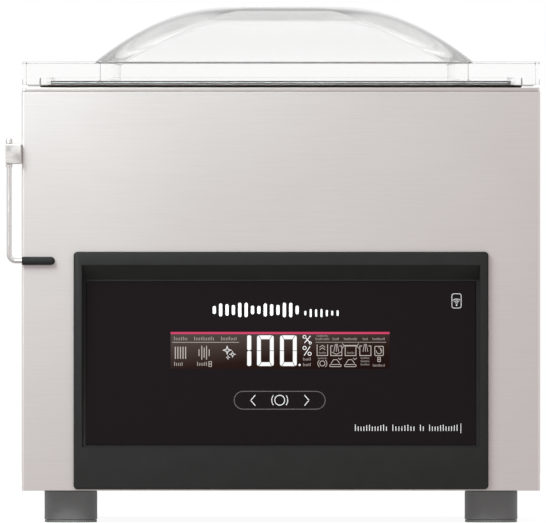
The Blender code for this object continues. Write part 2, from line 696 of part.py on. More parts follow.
def make_control_front():
    bezel = add("control_bezel", box((-BEZEL_HALF_WIDTH, BEZEL_FRONT, BEZEL_BOTTOM),
                                     (BEZEL_HALF_WIDTH, CASING_FRONT - GAP, BEZEL_TOP), 0.0012),
                "charcoal_plastic")
    weld(bezel, box((-0.1618, CASING_FRONT - 0.003, 0.0505), (0.1618, -0.2265, 0.2095)))
    lean = (PANEL_FRONT_HIGH - PANEL_FRONT_LOW) / (PANEL_TOP - PANEL_BOTTOM)
    floor_behind = PANEL_THICKNESS + GAP

    def panel_plane(z, behind=0.0):
        return PANEL_FRONT_LOW + (z - PANEL_BOTTOM) * lean + behind

    mouth = 0.004
    recess = hull([(side * RECESS_HALF_WIDTH, BEZEL_FRONT - mouth, z) for side in (-1, 1)
                   for z in (RECESS_BOTTOM - 0.0005, RECESS_TOP + mouth)]
                  + [(side * (RECESS_HALF_WIDTH - 0.0006), panel_plane(z, 0.0005), z) for side in (-1, 1)
                     for z in (RECESS_BOTTOM + 0.0004, 0.1946)])
    pocket = hull([(side * (PANEL_HALF_WIDTH + GAP), panel_plane(z, behind), z) for side in (-1, 1)
                   for z in (PANEL_BOTTOM - GAP, PANEL_TOP + GAP) for behind in (-0.004, floor_behind)])
    display_window = box((-0.0925, BEZEL_FRONT, 0.1195), (0.0909, -0.2200, 0.1568))
    cut(bezel, recess, pocket, display_window)

    panel = hull([(side * PANEL_HALF_WIDTH, panel_plane(z, behind), z) for side in (-1, 1)
                  for z in (PANEL_BOTTOM, PANEL_TOP) for behind in (0.0, PANEL_THICKNESS)])
    add("touch_panel", panel, "gloss_black", smooth=False)
    module = hull([(x, panel_plane(z, behind), z) for x in (-0.0915, 0.0899) for z in (0.1205, 0.1558)
                   for behind in (floor_behind, floor_behind + 0.0065)])
    add("display_module", module, "display", smooth=False)
    board = add("control_board", box((-0.120, -0.2225, 0.070), (0.120, -0.2209, 0.190)), "circuit_board",
                smooth=False)
    weld(board, box((-0.080, -0.2215, 0.090), (-0.050, -0.2175, 0.120)),
         box((0.030, -0.2215, 0.085), (0.070, -0.2115, 0.100)),
         rod(0.0065, -0.0215, -0.0080, (0.095, -0.2000, 0.150), "Y", 14))


# ---- Feet

def make_feet():
    profile = [(0.0, 0.012), (0.0055, 0.012), (0.0055, 0.0), (0.0194, 0.0), (0.0199, 0.0006),
               (0.0199, 0.0020), (FOOT_RADIUS - 0.0004, 0.0022), (FOOT_RADIUS, 0.0028),
               (FOOT_RADIUS, CASING_BOTTOM - GAP), (0.0, CASING_BOTTOM - GAP)]
    for end, y, x in (("front", -FOOT_Y, FOOT_X_FRONT), ("rear", FOOT_Y, FOOT_X_REAR)):
        for side, name in ((-1, "left"), (1, "right")):
            add(f"foot_{end}_{name}", turned(profile, (side * x, y, 0.0), "Z", 24), "charcoal_plastic")


# ---- Swing arm

def make_swing_arm():
    block = add("arm_bracket", box((ARM_BLOCK_LEFT, ARM_BLOCK_FRONT, 0.2873),
                                   (-CASING_HALF_WIDTH - GAP, -0.222, 0.3032), 0.0008), "stainless")
    cut(block, rod(ARM_ROD_RADIUS + GAP, -0.02, 0.02, (ARM_X, ARM_Y, 0.295), sides=16))
    pivot = Vector((ARM_X, ARM_Y, ARM_BOTTOM))
    route = [(ARM_X, ARM_TOP - 0.0005), (ARM_X, ARM_BOTTOM + ARM_BEND)]
    route += arc((ARM_X + ARM_BEND, ARM_BOTTOM + ARM_BEND), ARM_BEND, 180.0, 270.0, 6)[1:]
    sleeve_start = -0.2074
    route.append((sleeve_start + 0.020, ARM_BOTTOM))
    arm = add("swing_arm", tube_along([Vector((x, ARM_Y, z)) for x, z in route], ARM_ROD_RADIUS, 12),
              "polished_steel", pivot)
    collar_top = 0.2873 - GAP
    collar_shape = [(0.0012, collar_top - 0.0022), (0.0027, collar_top - 0.0022), (0.0027, collar_top),
                    (0.0012, collar_top)]
    head_low = 0.3032 + GAP
    head_shape = [(0.0015, head_low), (0.0027, head_low), (0.0027, ARM_TOP - 0.0006), (0.0021, ARM_TOP)]
    weld(arm, turned(collar_shape, (ARM_X, ARM_Y, 0.0), "Z", 16),
         turned(head_shape, (ARM_X, ARM_Y, 0.0), "Z", 16))
    bore = ARM_ROD_RADIUS + GAP
    grip = 0.0033
    length = 0.0265
    end = arc((length - grip, 0.0), grip, 90.0, 0.0, 5)
    profile = [(bore, 0.021), (bore, 0.0), (grip - 0.0004, 0.0), (grip, 0.0004)]
    profile += [(radius, along) for along, radius in end[:-1]] + [(0.0, length), (0.0, 0.021)]
    add("arm_sleeve", turned(profile[::-1][1:] + [(0.0, 0.021)], (sleeve_start, ARM_Y, ARM_BOTTOM), "X", 16),
        "black_rubber", pivot)


def tube_along(route, radius, sides):
    """A round bar through the route's points, which lie in one XZ plane."""
    rings = []
    for i, point in enumerate(route):
        before = route[max(i - 1, 0)]
        after = route[min(i + 1, len(route) - 1)]
        along = (after - before).normalized()
        across = Vector((0.0, 1.0, 0.0))
        up = along.cross(across)
        turn = [2 * math.pi * k / sides for k in range(sides)]
        rings.append([point + radius * (across * math.cos(a) + up * math.sin(a)) for a in turn])
    return loft(rings)


# ---- Pump set

def make_pump_set():
    y, z = SHAFT_LINE_Y, SHAFT_LINE_Z
    base = CASING_BOTTOM + GAP + SHEET + GAP
    pump = add("vacuum_pump", box((-0.175, y - 0.065, base + 0.012), (-0.078, y + 0.065, 0.165), 0.006),
               "pump_paint")
    weld(pump, box((-0.165, y - 0.060, base), (-0.140, y + 0.060, base + 0.014)),
         box((-0.110, y - 0.060, base), (-0.085, y + 0.060, base + 0.014)),
         rod(0.012, -0.002, 0.016, (-0.125, y, 0.163), "Z", 20),
         rod(0.010, -0.002, 0.0080, (-0.100, y + 0.045, 0.163), "Z", 16),
         rod(0.016, -0.002, 0.0115, (-0.145, y + 0.063, 0.125), "Y", 20))
    cut(pump, rod(0.0125, -0.004, 0.01, (-0.110, y + 0.065, 0.080), "Y", 20))
    glass = [(0.0, -0.0037), (0.0121, -0.0037), (0.0121, 0.0008), (0.0105, 0.0018), (0.0, 0.0018)]
    add("oil_sight_glass", turned(glass, (-0.110, y + 0.065, 0.080), "Y", 20), "glass")

    filter_shape = [(0.0, 0.040), (0.026, 0.040), (0.028, 0.042), (0.028, 0.150), (0.024, 0.160),
                    (0.010, 0.163), (0.010, 0.172), (0.0, 0.172)]
    add("exhaust_filter", turned(filter_shape, (-0.145, y + 0.105, 0.0), "Z", 20), "charcoal_plastic")

    fins = 18
    outline = []
    for i in range(fins):
        for share, radius in ((0.0, 0.056), (0.42, 0.056), (0.52, 0.052), (0.90, 0.052)):
            angle = 2 * math.pi * (i + share) / fins
            outline.append((y + radius * math.cos(angle), z + radius * math.sin(angle)))
    motor = add("pump_motor", prism(outline, -0.074, 0.050), "aluminium", smooth=False)
    weld(motor, box((-0.060, y - 0.040, base), (0.036, y + 0.040, z - 0.045)),
         box((-0.035, y - 0.030, z + 0.045), (0.030, y + 0.030, z + 0.078)))
    cut(motor, rod(0.0064, -0.060, 0.06, (0.0, y, z), "X", 20))

    shaft = [(0.006, -0.058), (0.006, 0.094)]
    rotor = add("motor_rotor", turned(shaft, (0.0, y, z), "X", 20), "charcoal_plastic", (0.0, y, z))
    weld(rotor, turned([(0.004, 0.062), (0.016, 0.062), (0.014, 0.078), (0.004, 0.078)], (0.0, y, z), "X", 20))
    blade_tip = 0.048
    for i in range(7):
        turn = Matrix.Rotation(2 * math.pi * i / 7, 4, "X")
        weld(rotor, shaped_blade(turn, 0.012, blade_tip, 0.064, 0.076, 0.0022, Vector((0.0, y, z))))
    cowl = [(0.0590, 0.0515), (0.0590, 0.098), (0.052, 0.102), (0.020, 0.102), (0.020, 0.1006),
            (0.0515, 0.1006), (0.0576, 0.0974), (0.0576, 0.0515)]
    add("motor_cowl", turned(cowl, (0.0, y, z), "X", 24, closed=True), "charcoal_plastic")


def shaped_blade(turn, inner, outer, low, high, thickness, centre):
    """A flat fan blade that stands on the X axis, from the inner to the outer radius."""
    bm = box((low, -thickness / 2, inner), (high, thickness / 2, outer))
    bmesh.ops.transform(bm, matrix=Matrix.Translation(centre) @ turn, verts=bm.verts)
    return bm


# ---- Valves, hoses, transformer and power board

def make_valves_and_hoses():
    low = Vector((0.020, 0.182, 0.192))
    high = Vector((0.116, 0.206, 0.214))
    block = add("valve_manifold", box(low, high, 0.001, 1), "aluminium")
    barb = [(0.003, -0.002), (0.003, 0.003), (0.0045, 0.003), (0.0038, 0.010), (0.003, 0.010)]
    middle_y = (low.y + high.y) / 2
    weld(block, turned(barb, (0.090, middle_y, high.z), "Z", 14),
         turned([(r, -h) for r, h in barb], (low.x, middle_y, 0.203), "X", 14),
         turned([(r, -h) for r, h in barb], (0.104, low.y, 0.203), "Y", 14))
    for x, name in ((0.035, "seal_valve_coil"), (0.059, "air_valve_coil"), (0.100, "gas_valve_coil")):
        body_top = low.z - GAP
        coil = add(name, box((x - 0.010, middle_y - 0.011, body_top - 0.030),
                             (x + 0.010, middle_y + 0.011, body_top), 0.002, 1), "charcoal_plastic")
        weld(coil, rod(0.005, body_top - 0.037, body_top - 0.028, (x, middle_y, 0.0), "Z", 6))
    stub = 0.007
    reach = 0.0106
    nozzle_end = Vector((0.090, CHAMBER_REAR + 0.0145, 0.322))
    block_top = Vector((0.090, middle_y, high.z + reach))
    block_side = Vector((low.x - reach, middle_y, 0.203))
    block_front = Vector((0.104, low.y - reach, 0.203))
    pump_port = Vector((-0.125, SHAFT_LINE_Y, 0.1798))
    cylinder_side = Vector((PISTON_X, SEAL_BAR_Y + 0.0155, 0.199))
    add_hose("vacuum_hose", straight_start(nozzle_end, (0.0, 0.004, 0.0))
             + [(0.090, middle_y - 0.001, 0.311), (0.090, middle_y, 0.290), (0.090, middle_y, 0.262)]
             + straight_start(block_top, (0.0, 0.0, stub))[::-1], 0.006, 0.010)
    add_hose("pump_hose", straight_start(block_side, (-stub, 0.0, 0.0))
             + [(-0.045, 0.162, 0.213), (-0.090, 0.112, 0.221), (-0.119, 0.072, 0.215)]
             + straight_start(pump_port, (0.0, 0.0, stub))[::-1], 0.006, 0.012)
    add_hose("seal_hose", straight_start(block_front, (0.0, -stub, 0.0))
             + [(0.125, 0.060, 0.212), (0.135, -0.060, 0.212), (0.127, -0.140, 0.204)]
             + straight_start(cylinder_side, (0.0, stub, 0.0))[::-1], 0.003, 0.022)


def straight_start(end, stub):
    """Three points in line, so that a hose leaves its fitting straight."""
    return [end, end + Vector(stub), end + 2 * Vector(stub)]


def make_transformer():
    x, y = 0.120, -0.110
    base = CASING_BOTTOM + GAP + SHEET + GAP
    height = 0.070
    core = add("transformer_core", box((x - 0.042, y - 0.020, base), (x + 0.042, y + 0.020, base + height)),
               "pump_paint", smooth=False)
    window_low, window_high = base + 0.013, base + height - 0.013
    for side in (-1, 1):
        near, far = sorted((side * 0.011, side * 0.029))
        cut(core, box((x + near, y - 0.03, window_low), (x + far, y + 0.03, window_high)))

    def winding(half_x, half_y, radius, z):
        return rounded_ring(half_x, half_y, radius, z, (x, y), 4)

    coil_low, coil_high = window_low + GAP, window_high - GAP
    add("transformer_coil", loft([winding(0.0114, 0.0204, 0.001, coil_low),
                                  winding(0.0284, 0.0374, 0.010, coil_low),
                                  winding(0.0284, 0.0374, 0.010, coil_high),
                                  winding(0.0114, 0.0204, 0.001, coil_high)], closed=True), "copper")


def make_power_board():
    face = 0.196
    board = add("power_board", box((face, -0.060, 0.050), (face + 0.0016, 0.110, 0.190)), "circuit_board",
                smooth=False)
    for y, z in ((-0.030, 0.080), (-0.030, 0.110)):
        weld(board, box((face - 0.016, y - 0.010, z - 0.012), (face + 0.0005, y + 0.010, z + 0.012)))
    for y in (0.010, 0.040):
        weld(board, rod(0.010, face - 0.026, face + 0.0005, (0.0, y, 0.085), "X", 16))
    weld(board, box((face - 0.022, -0.040, 0.140), (face + 0.0005, 0.080, 0.143)))


# ---- Rear fittings

def make_fan():
    rear = CASING_REAR - SHEET - 0.0008
    depth = 0.025
    front = rear - depth
    half = 0.040
    spot = Vector((FAN_CENTRE.x, front, FAN_CENTRE.z))
    frame = add("fan_frame", box(spot + Vector((-half, 0.0, -half)), spot + Vector((half, depth, half)), 0.002, 1),
                "charcoal_plastic")
    cut(frame, rod(0.038, -0.01, depth + 0.01, spot, "Y", 32))
    weld(frame, rod(0.0165, depth - 0.003, depth, spot, "Y", 24))
    for angle in (45.0, 135.0, 225.0, 315.0):
        spoke = box((0.0, depth - 0.003, -0.0015), (0.0392, depth, 0.0015))
        turn = Matrix.Translation(spot) @ Matrix.Rotation(math.radians(angle), 4, "Y")
        bmesh.ops.transform(spoke, matrix=turn, verts=spoke.verts)
        weld(frame, spoke)
    rotor = add("fan_rotor", rod(0.0150, 0.0015, depth - 0.0045, spot, "Y", 24), "charcoal_plastic", spot)
    for i in range(7):
        blade = box((0.013, 0.0035, -0.0006), (0.0362, 0.0185, 0.0006))
        twist = Matrix.Rotation(math.radians(38.0), 4, "X")
        middle = Matrix.Translation((0.0, 0.0110, 0.0))
        turn = Matrix.Translation(spot) @ Matrix.Rotation(2 * math.pi * i / 7, 4, "Y")
        bmesh.ops.transform(blade, matrix=turn @ middle @ twist @ middle.inverted(), verts=blade.verts)
        weld(rotor, blade)


def make_power_inlet():
    x, z = INLET_CENTRE.x, INLET_CENTRE.z
    face = REAR_PANEL_FACE + GAP
    inlet = add("power_inlet", box((x - 0.0165, face, z - 0.0145), (x + 0.0165, face + 0.003, z + 0.0145),
                                   0.001, 1), "charcoal_plastic")
    weld(inlet, box((x - 0.0135, face - 0.024, z - 0.0100), (x + 0.0135, face + 0.001, z + 0.0100)))
    cut(inlet, box((x - 0.0120, face - 0.017, z - 0.0080), (x + 0.0120, face + 0.01, z + 0.0080)))
    for side, height in ((-1, -0.002), (0, 0.002), (1, -0.002)):
        weld(inlet, box((x + side * 0.007 - 0.001, face - 0.018, z + height - 0.002),
                        (x + side * 0.007 + 0.001, face - 0.008, z + height + 0.002)))


def switch_pivot():
    return Vector((SWITCH_CENTRE.x, REAR_PANEL_FACE - 0.002, SWITCH_CENTRE.z))


def make_power_switch():
    x, z = SWITCH_CENTRE.x, SWITCH_CENTRE.z
    face = REAR_PANEL_FACE + GAP
    frame = add("power_switch_frame", box((x - 0.0135, face, z - 0.0170), (x + 0.0135, face + 0.002, z + 0.0170),
                                          0.0007, 1), "charcoal_plastic")
    weld(frame, box((x - 0.0105, face - 0.020, z - 0.0140), (x + 0.0105, face + 0.001, z + 0.0140)))
    cut(frame, box((x - 0.0085, face - 0.0105, z - 0.0125), (x + 0.0085, face + 0.01, z + 0.0125)))
    pivot = switch_pivot()
    outline = [(-0.0060, -0.0080), (0.0030, -0.0113), (0.0058, -0.0113), (0.0036, 0.0), (0.0058, 0.0113),
               (0.0030, 0.0113), (-0.0060, 0.0080)]
    tilt = Matrix.Rotation(-SWITCH_TILT, 2)
    turned_outline = [tilt @ Vector(point) for point in outline]
    rocker = prism([(pivot.y + p.x, pivot.z + p.y) for p in turned_outline], x - 0.0080, x + 0.0080)
    add("power_rocker", rocker, "charcoal_plastic", pivot, smooth=False)


def make_gas_inlet():
    face = REAR_PANEL_FACE + GAP
    spot = Vector((GAS_INLET.x, face, GAS_INLET.z))
    barb = [(0.0, -0.014), (0.0046, -0.014), (0.0046, 0.0052), (0.0030, 0.0062), (0.0042, 0.0080),
            (0.0032, 0.0112), (0.0042, 0.0130), (0.0030, GAS_INLET_REACH), (0.0015, GAS_INLET_REACH),
            (0.0015, 0.006), (0.0, 0.006)]
    fitting = add("gas_inlet", turned(barb, spot, "Y", 16), "brass")
    weld(fitting, rod(0.0080, 0.0, 0.0045, spot, "Y", 6))


make_casing()
make_base_plate()
make_rear_panel()
make_chamber()
make_lid()
make_lid_gasket()
make_lid_hinges()
make_hinge_blocks()
make_hinge_shaft()
make_hinge_lever()
make_strut()
make_strut_bracket()
make_sealing()
make_chamber_fittings()
make_control_front()
make_feet()
make_swing_arm()
make_pump_set()
make_valves_and_hoses()
make_transformer()
make_power_board()
make_fan()
make_power_inlet()
make_power_switch()
make_gas_inlet()
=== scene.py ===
"""Looks of a tabletop chamber vacuum packing machine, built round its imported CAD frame.

Metres, +Z up, the control front faces -Y. Sizes below are measured in the machine's own
coordinates: X from the casing's centre line, Y from the casing's middle, Z from the worktop.
MACHINE takes them to the frame.
"""
import json
import math

import bmesh
import bpy
from mathutils import Matrix, Vector


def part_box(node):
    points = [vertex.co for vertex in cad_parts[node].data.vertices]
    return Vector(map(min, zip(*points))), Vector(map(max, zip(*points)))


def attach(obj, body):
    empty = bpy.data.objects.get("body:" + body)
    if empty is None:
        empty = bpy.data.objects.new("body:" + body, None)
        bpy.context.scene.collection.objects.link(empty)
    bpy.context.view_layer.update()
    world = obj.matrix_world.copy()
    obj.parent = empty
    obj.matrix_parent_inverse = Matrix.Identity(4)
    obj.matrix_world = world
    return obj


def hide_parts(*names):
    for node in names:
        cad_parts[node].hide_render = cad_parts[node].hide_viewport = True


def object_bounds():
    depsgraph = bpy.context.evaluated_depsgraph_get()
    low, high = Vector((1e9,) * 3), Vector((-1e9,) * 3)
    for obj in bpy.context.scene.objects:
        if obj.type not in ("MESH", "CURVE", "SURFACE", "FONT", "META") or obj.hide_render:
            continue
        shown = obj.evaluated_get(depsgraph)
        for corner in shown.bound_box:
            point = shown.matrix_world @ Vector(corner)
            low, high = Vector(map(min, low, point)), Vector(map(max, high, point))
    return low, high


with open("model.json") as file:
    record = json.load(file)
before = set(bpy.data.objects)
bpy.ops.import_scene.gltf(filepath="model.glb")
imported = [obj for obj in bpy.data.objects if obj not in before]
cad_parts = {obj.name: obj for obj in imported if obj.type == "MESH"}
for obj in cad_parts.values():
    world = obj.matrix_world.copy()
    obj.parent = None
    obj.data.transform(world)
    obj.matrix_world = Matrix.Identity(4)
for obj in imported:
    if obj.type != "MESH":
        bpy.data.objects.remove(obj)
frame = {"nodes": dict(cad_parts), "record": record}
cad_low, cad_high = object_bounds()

MM = 0.001
SHEET = 1.5 * MM
SEAL_HEIGHT = 5.2 * MM
GAP = 0.3 * MM
QUARTER = math.pi / 2
AXIS = {"X": Vector((1, 0, 0)), "Y": Vector((0, 1, 0)), "Z": Vector((0, 0, 1))}
WHITE = (1.0, 1.0, 1.0)

# The casing's box in the frame gives the machine's own origin and outer sizes
casing_low, casing_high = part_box("body_casing")
CASING_HALF_DEPTH = (casing_high.y - casing_low.y) / 2
MACHINE = Vector(((casing_low.x + casing_high.x) / 2, (casing_low.y + casing_high.y) / 2, 0.0))


def mm(*sizes):
    return tuple(size * MM for size in sizes)


def span(node):
    """A CAD node's lowest and highest corner in the machine's coordinates."""
    low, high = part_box(node)
    return low - MACHINE, high - MACHINE


# ---- shapes

def strip(bm, low, high):
    """Faces between two rings of vertices, either of which may be a single point."""
    count = max(len(low), len(high))
    for i in range(count):
        j = (i + 1) % count
        if len(low) == 1:
            bm.faces.new((low[0], high[j], high[i]))
        elif len(high) == 1:
            bm.faces.new((low[i], low[j], high[0]))
        else:
            bm.faces.new((low[i], low[j], high[j], high[i]))


def loft(rings, closed=False):
    """Skin rings that have equally many points, or one; capped at both ends unless closed."""
    bm = bmesh.new()
    levels = [[bm.verts.new(point) for point in ring] for ring in rings]
    pairs = list(zip(levels, levels[1:]))
    if closed:
        pairs.append((levels[-1], levels[0]))
    else:
        for level in (levels[0], levels[-1]):
            if len(level) > 1:
                bm.faces.new(level)
    for low, high in pairs:
        strip(bm, low, high)
    bmesh.ops.recalc_face_normals(bm, faces=bm.faces)
    return bm


def rounded_ring(half_x, half_y, radius, z, centre=(0.0, 0.0), steps=12):
    """A rounded rectangle in the XY plane."""
    ring = []
    for quadrant in range(4):
        x = centre[0] + (1 if quadrant in (0, 3) else -1) * (half_x - radius)
        y = centre[1] + (1 if quadrant in (0, 1) else -1) * (half_y - radius)
        for step in range(steps + 1):
            angle = QUARTER * (quadrant + step / steps)
            ring.append(Vector((x + radius * math.cos(angle), y + radius * math.sin(angle), z)))
    return ring


def upright(rings):
    """Skin rings made in the XY plane, then stand them in the XZ plane, so that Z becomes -Y."""
    bm = loft(rings)
    bmesh.ops.transform(bm, matrix=Matrix.Rotation(QUARTER, 4, "X"), verts=bm.verts)
    return bm


def block(low, high, bevel=0.0, steps=3):
    """A block between two corners, with rounded edges where bevel is given."""
    bm = bmesh.new()
    bmesh.ops.create_cube(bm, size=1.0)
    size, middle = Vector(high) - Vector(low), (Vector(high) + Vector(low)) / 2
    place = Matrix.Translation(middle) @ Matrix.Diagonal((*size, 1.0))
    bmesh.ops.transform(bm, matrix=place, verts=bm.verts)
    if bevel:
        bmesh.ops.bevel(bm, geom=list(bm.edges), offset=bevel, segments=steps, profile=0.5,
                        affect="EDGES", clamp_overlap=True)
    return bm


def turned(profile, centre=(0.0, 0.0, 0.0), axis="Z", sides=48, closed=False):
    """Turn (radius, height) points about an axis through centre; a ring profile is closed."""
    turn = AXIS["Z"].rotation_difference(AXIS[axis]).to_matrix().to_4x4()
    place = Matrix.Translation(Vector(centre)) @ turn
    angles = [2 * math.pi * i / sides for i in range(sides)]
    levels = [[place @ Vector((radius * math.cos(a), radius * math.sin(a), height))
               for a in (angles if radius > 0.0 else (0.0,))] for radius, height in profile]
    return loft(levels, closed)


def rod(radius, low, high, centre=(0.0, 0.0, 0.0), axis="Z"):
    """A cylinder between two heights along its axis."""
    return turned([(radius, low), (radius, high)], centre, axis)


def arc(centre, radius, start, end, steps):
    """Points of a circular arc in a plane, angles in degrees."""
    angles = (math.radians(start + (end - start) * i / steps) for i in range(steps + 1))
    return [(centre[0] + radius * math.cos(a), centre[1] + radius * math.sin(a)) for a in angles]


def quarter_arc(steps):
    """Shares of a fillet's radius, along and across, from its level end to its upright end."""
    angles = (QUARTER * k / steps for k in range(steps + 1))
    return [(1 - math.cos(a), 1 - math.sin(a)) for a in angles]


def hull(points):
    """The convex body through a few corner points."""
    bm = bmesh.new()
    for point in points:
        bm.verts.new(point)
    bmesh.ops.convex_hull(bm, input=bm.verts)
    bmesh.ops.recalc_face_normals(bm, faces=bm.faces)
    return bm


def tube(route, radius, sides=32):
    """A round bar through points that lie in one XZ plane."""
    rings = []
    for i, point in enumerate(route):
        along = (route[min(i + 1, len(route) - 1)] - route[max(i - 1, 0)]).normalized()
        up = along.cross(AXIS["Y"])
        rings.append([point + radius * (AXIS["Y"] * math.cos(a) + up * math.sin(a))
                      for a in (2 * math.pi * k / sides for k in range(sides))])
    return loft(rings)


# ---- pieces

def solid(name, bm):
    """A mesh object from a shape, which is used up."""
    mesh = bpy.data.meshes.new(name)
    bm.to_mesh(mesh)
    bm.free()
    made = bpy.data.objects.new(name, mesh)
    bpy.context.scene.collection.objects.link(made)
    return made


def flatten_normals(made):
    """Let large flat faces keep their true normals beside small rounded edges."""
    weighted = made.modifiers.new("normals", "WEIGHTED_NORMAL")
    weighted.mode = "FACE_AREA"
    weighted.weight = 100
    weighted.keep_sharp = True


def shade(made, sharp):
    made.data.shade_smooth()
    made.data.set_sharp_from_angle(angle=math.radians(sharp))
    flatten_normals(made)


def piece(name, bm, finish, replaces=(), body="housing", sharp=35.0):
    """A visible piece from a shape in machine coordinates, riding on a CAD body."""
    bmesh.ops.translate(bm, verts=bm.verts, vec=MACHINE)
    made = solid(name, bm)
    made.data.materials.append(finish)
    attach(made, body)
    if replaces:
        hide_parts(*replaces)
    shade(made, sharp)
    return made


def carve(made, shapes, operation="DIFFERENCE", sharp=35.0):
    """Cut shapes out of a piece, or weld them on, and keep only the result."""
    made.modifiers.clear()
    tools = []
    for bm in shapes:
        bmesh.ops.translate(bm, verts=bm.verts, vec=MACHINE)
        tools.append(solid("tool", bm))
        modifier = made.modifiers.new("carve", "BOOLEAN")
        modifier.operation = operation
        modifier.solver = "EXACT"
        modifier.object = tools[-1]
    bpy.context.view_layer.update()
    carved = made.evaluated_get(bpy.context.evaluated_depsgraph_get())
    old, made.data = made.data, bpy.data.meshes.new_from_object(carved)
    made.modifiers.clear()
    made.data.name = made.name
    used = [old] + [tool.data for tool in tools]
    for tool in tools:
        bpy.data.objects.remove(tool)
    for mesh in used:
        bpy.data.meshes.remove(mesh)
    shade(made, sharp)


def round_edges(made, width):
    """A small machined or moulded radius on a piece's sharp edges."""
    bevel = made.modifiers.new("edges", "BEVEL")
    bevel.width = width
    bevel.segments = 2
    bevel.limit_method = "ANGLE"
    bevel.angle_limit = math.radians(40.0)
    bevel.harden_normals = True


# ---- materials

def add(tree, kind, inputs, **settings):
    """A new node; each input gets a value, or a link from the node or output that is given."""
    node = tree.nodes.new(kind)
    for key, value in settings.items():
        setattr(node, key, value)
    for key, value in inputs.items():
        if isinstance(value, bpy.types.Node):
            value = next(output for output in value.outputs if output.enabled)
        if isinstance(value, bpy.types.NodeSocket):
            tree.links.new(value, node.inputs[key])
        else:
            node.inputs[key].default_value = value
    return node


def opaque(colour):
    return (*colour, 1.0)


def piece_place(tree):
    """The place on the piece, in metres along its own axes."""
    return add(tree, "ShaderNodeTexCoord", {}).outputs["Object"]


def banded(tree, factor, stops, interpolation="LINEAR"):
    """A colour ramp through (position, colour) stops in rising order."""
    node = add(tree, "ShaderNodeValToRGB", {"Fac": factor})
    node.color_ramp.interpolation = interpolation
    elements = node.color_ramp.elements
    for i, (position, colour) in enumerate(stops):
        stop = elements[i] if i < 2 else elements.new(position)
        stop.position, stop.color = position, opaque(colour)
    return node


def shader_of(made):
    return made.node_tree.nodes["Principled BSDF"]


def feed(made, socket, output):
    made.node_tree.links.new(output, shader_of(made).inputs[socket])


def material(name, colour, metallic=0.0, roughness=0.5, **sockets):
    """A Principled material; other sockets are given by name, with _ for a space."""
    made = bpy.data.materials.new(name)
    made.use_nodes = True
    sockets.update(Base_Color=opaque(colour), Metallic=metallic, Roughness=roughness)
    for key, value in sockets.items():
        shader_of(made).inputs[key.replace("_", " ")].default_value = value
    return made


def texture(made, kind, scale=(1.0, 1.0, 1.0), inputs=(), **settings):
    """A procedural texture over the piece's own metres, stretched by scale on each axis."""
    tree = made.node_tree
    stretch = add(tree, "ShaderNodeMapping", {"Vector": piece_place(tree), "Scale": scale})
    return add(tree, f"ShaderNodeTex{kind}", {"Vector": stretch, **dict(inputs)}, **settings)


def noise(made, scale, detail=3.0, stretch=(1.0, 1.0, 1.0)):
    return texture(made, "Noise", stretch, {"Scale": scale, "Detail": detail}).outputs["Fac"]


def ripples(made, scale, direction):
    return texture(made, "Wave", inputs={"Scale": scale}, bands_direction=direction).outputs["Fac"]


def cells(made, scale, **settings):
    return texture(made, "Voronoi", inputs={"Scale": scale}, **settings).outputs["Distance"]


def spread(made, factor, low, high):
    """A factor around one half, spread between two values."""
    return add(made.node_tree, "ShaderNodeMapRange", {
        "Value": factor, "From Min": 0.3, "From Max": 0.7, "To Min": low, "To Max": high})


def vary_roughness(made, factor, low, high):
    feed(made, "Roughness", spread(made, factor, low, high).outputs["Result"])


def scaled(colour, factor):
    return tuple(channel * factor for channel in colour)


def vary_colour(made, factor, colour, low, high):
    """A colour that changes between two shares of its brightness."""
    mix = add(made.node_tree, "ShaderNodeMix", {
        "A": opaque(scaled(colour, low)), "B": opaque(scaled(colour, high)),
        "Factor": spread(made, factor, 0.0, 1.0)}, data_type="RGBA")
    feed(made, "Base Color", mix.outputs["Result"])


def roughen(made, height, depth, strength=1.0):
    """Bump of a real depth in millimetres; further calls add to it."""
    normal = shader_of(made).inputs["Normal"]
    inputs = {"Distance": depth * MM, "Strength": strength, "Height": height}
    if normal.links:
        inputs["Normal"] = normal.links[0].from_socket
    feed(made, "Normal", add(made.node_tree, "ShaderNodeBump", inputs).outputs["Normal"])


def brushed_steel(name, colour, roughness, stretch):
    """Satin sheet: fine scratches along one axis, and slow changes of gloss."""
    made = material(name, colour, 1.0, roughness)
    scratches = noise(made, 1.0, 4.0, stretch)
    vary_colour(made, scratches, colour, 0.975, 1.02)
    vary_roughness(made, noise(made, 9.0, 2.0), roughness - 0.006, roughness + 0.006)
    roughen(made, scratches, 0.012, 0.35)
    return made


def smooth_metal(name, colour, roughness):
    made = material(name, colour, 1.0, roughness)
    vary_roughness(made, noise(made, 120.0), roughness * 0.8, roughness * 1.25)
    roughen(made, noise(made, 900.0, 2.0), 0.004, 0.3)
    return made


def moulded_plastic(name, colour, roughness, grain=2200.0, depth=0.02, specular=0.5):
    """Spark-eroded plastic: a fine even grain with soft changes of gloss."""
    made = material(name, colour, 0.0, roughness, Specular_IOR_Level=specular)
    grains = noise(made, grain, 2.0)
    vary_colour(made, noise(made, 60.0), colour, 0.94, 1.07)
    vary_roughness(made, grains, roughness - 0.06, roughness + 0.08)
    roughen(made, grains, depth, 0.5)
    return made


def make_acrylic():
    """Clear sheet; light still inside it after four reflections counts as a pale glow."""
    made = material("clear_acrylic", (0.990, 0.989, 0.987), 0.0, 0.0, Transmission_Weight=1.0,
                    IOR=1.49, Emission_Color=(0.95, 0.95, 0.94, 1.0))
    vary_roughness(made, noise(made, 300.0), 0.0, 0.035)
    tree = made.node_tree
    bounces = add(tree, "ShaderNodeLightPath", {}).outputs["Glossy Depth"]
    trapped = add(tree, "ShaderNodeMath", {0: bounces, 1: 3.5}, operation="GREATER_THAN")
    glow = add(tree, "ShaderNodeMath", {0: trapped, 1: 0.16}, operation="MULTIPLY")
    feed(made, "Emission Strength", glow.outputs["Value"])
    return made


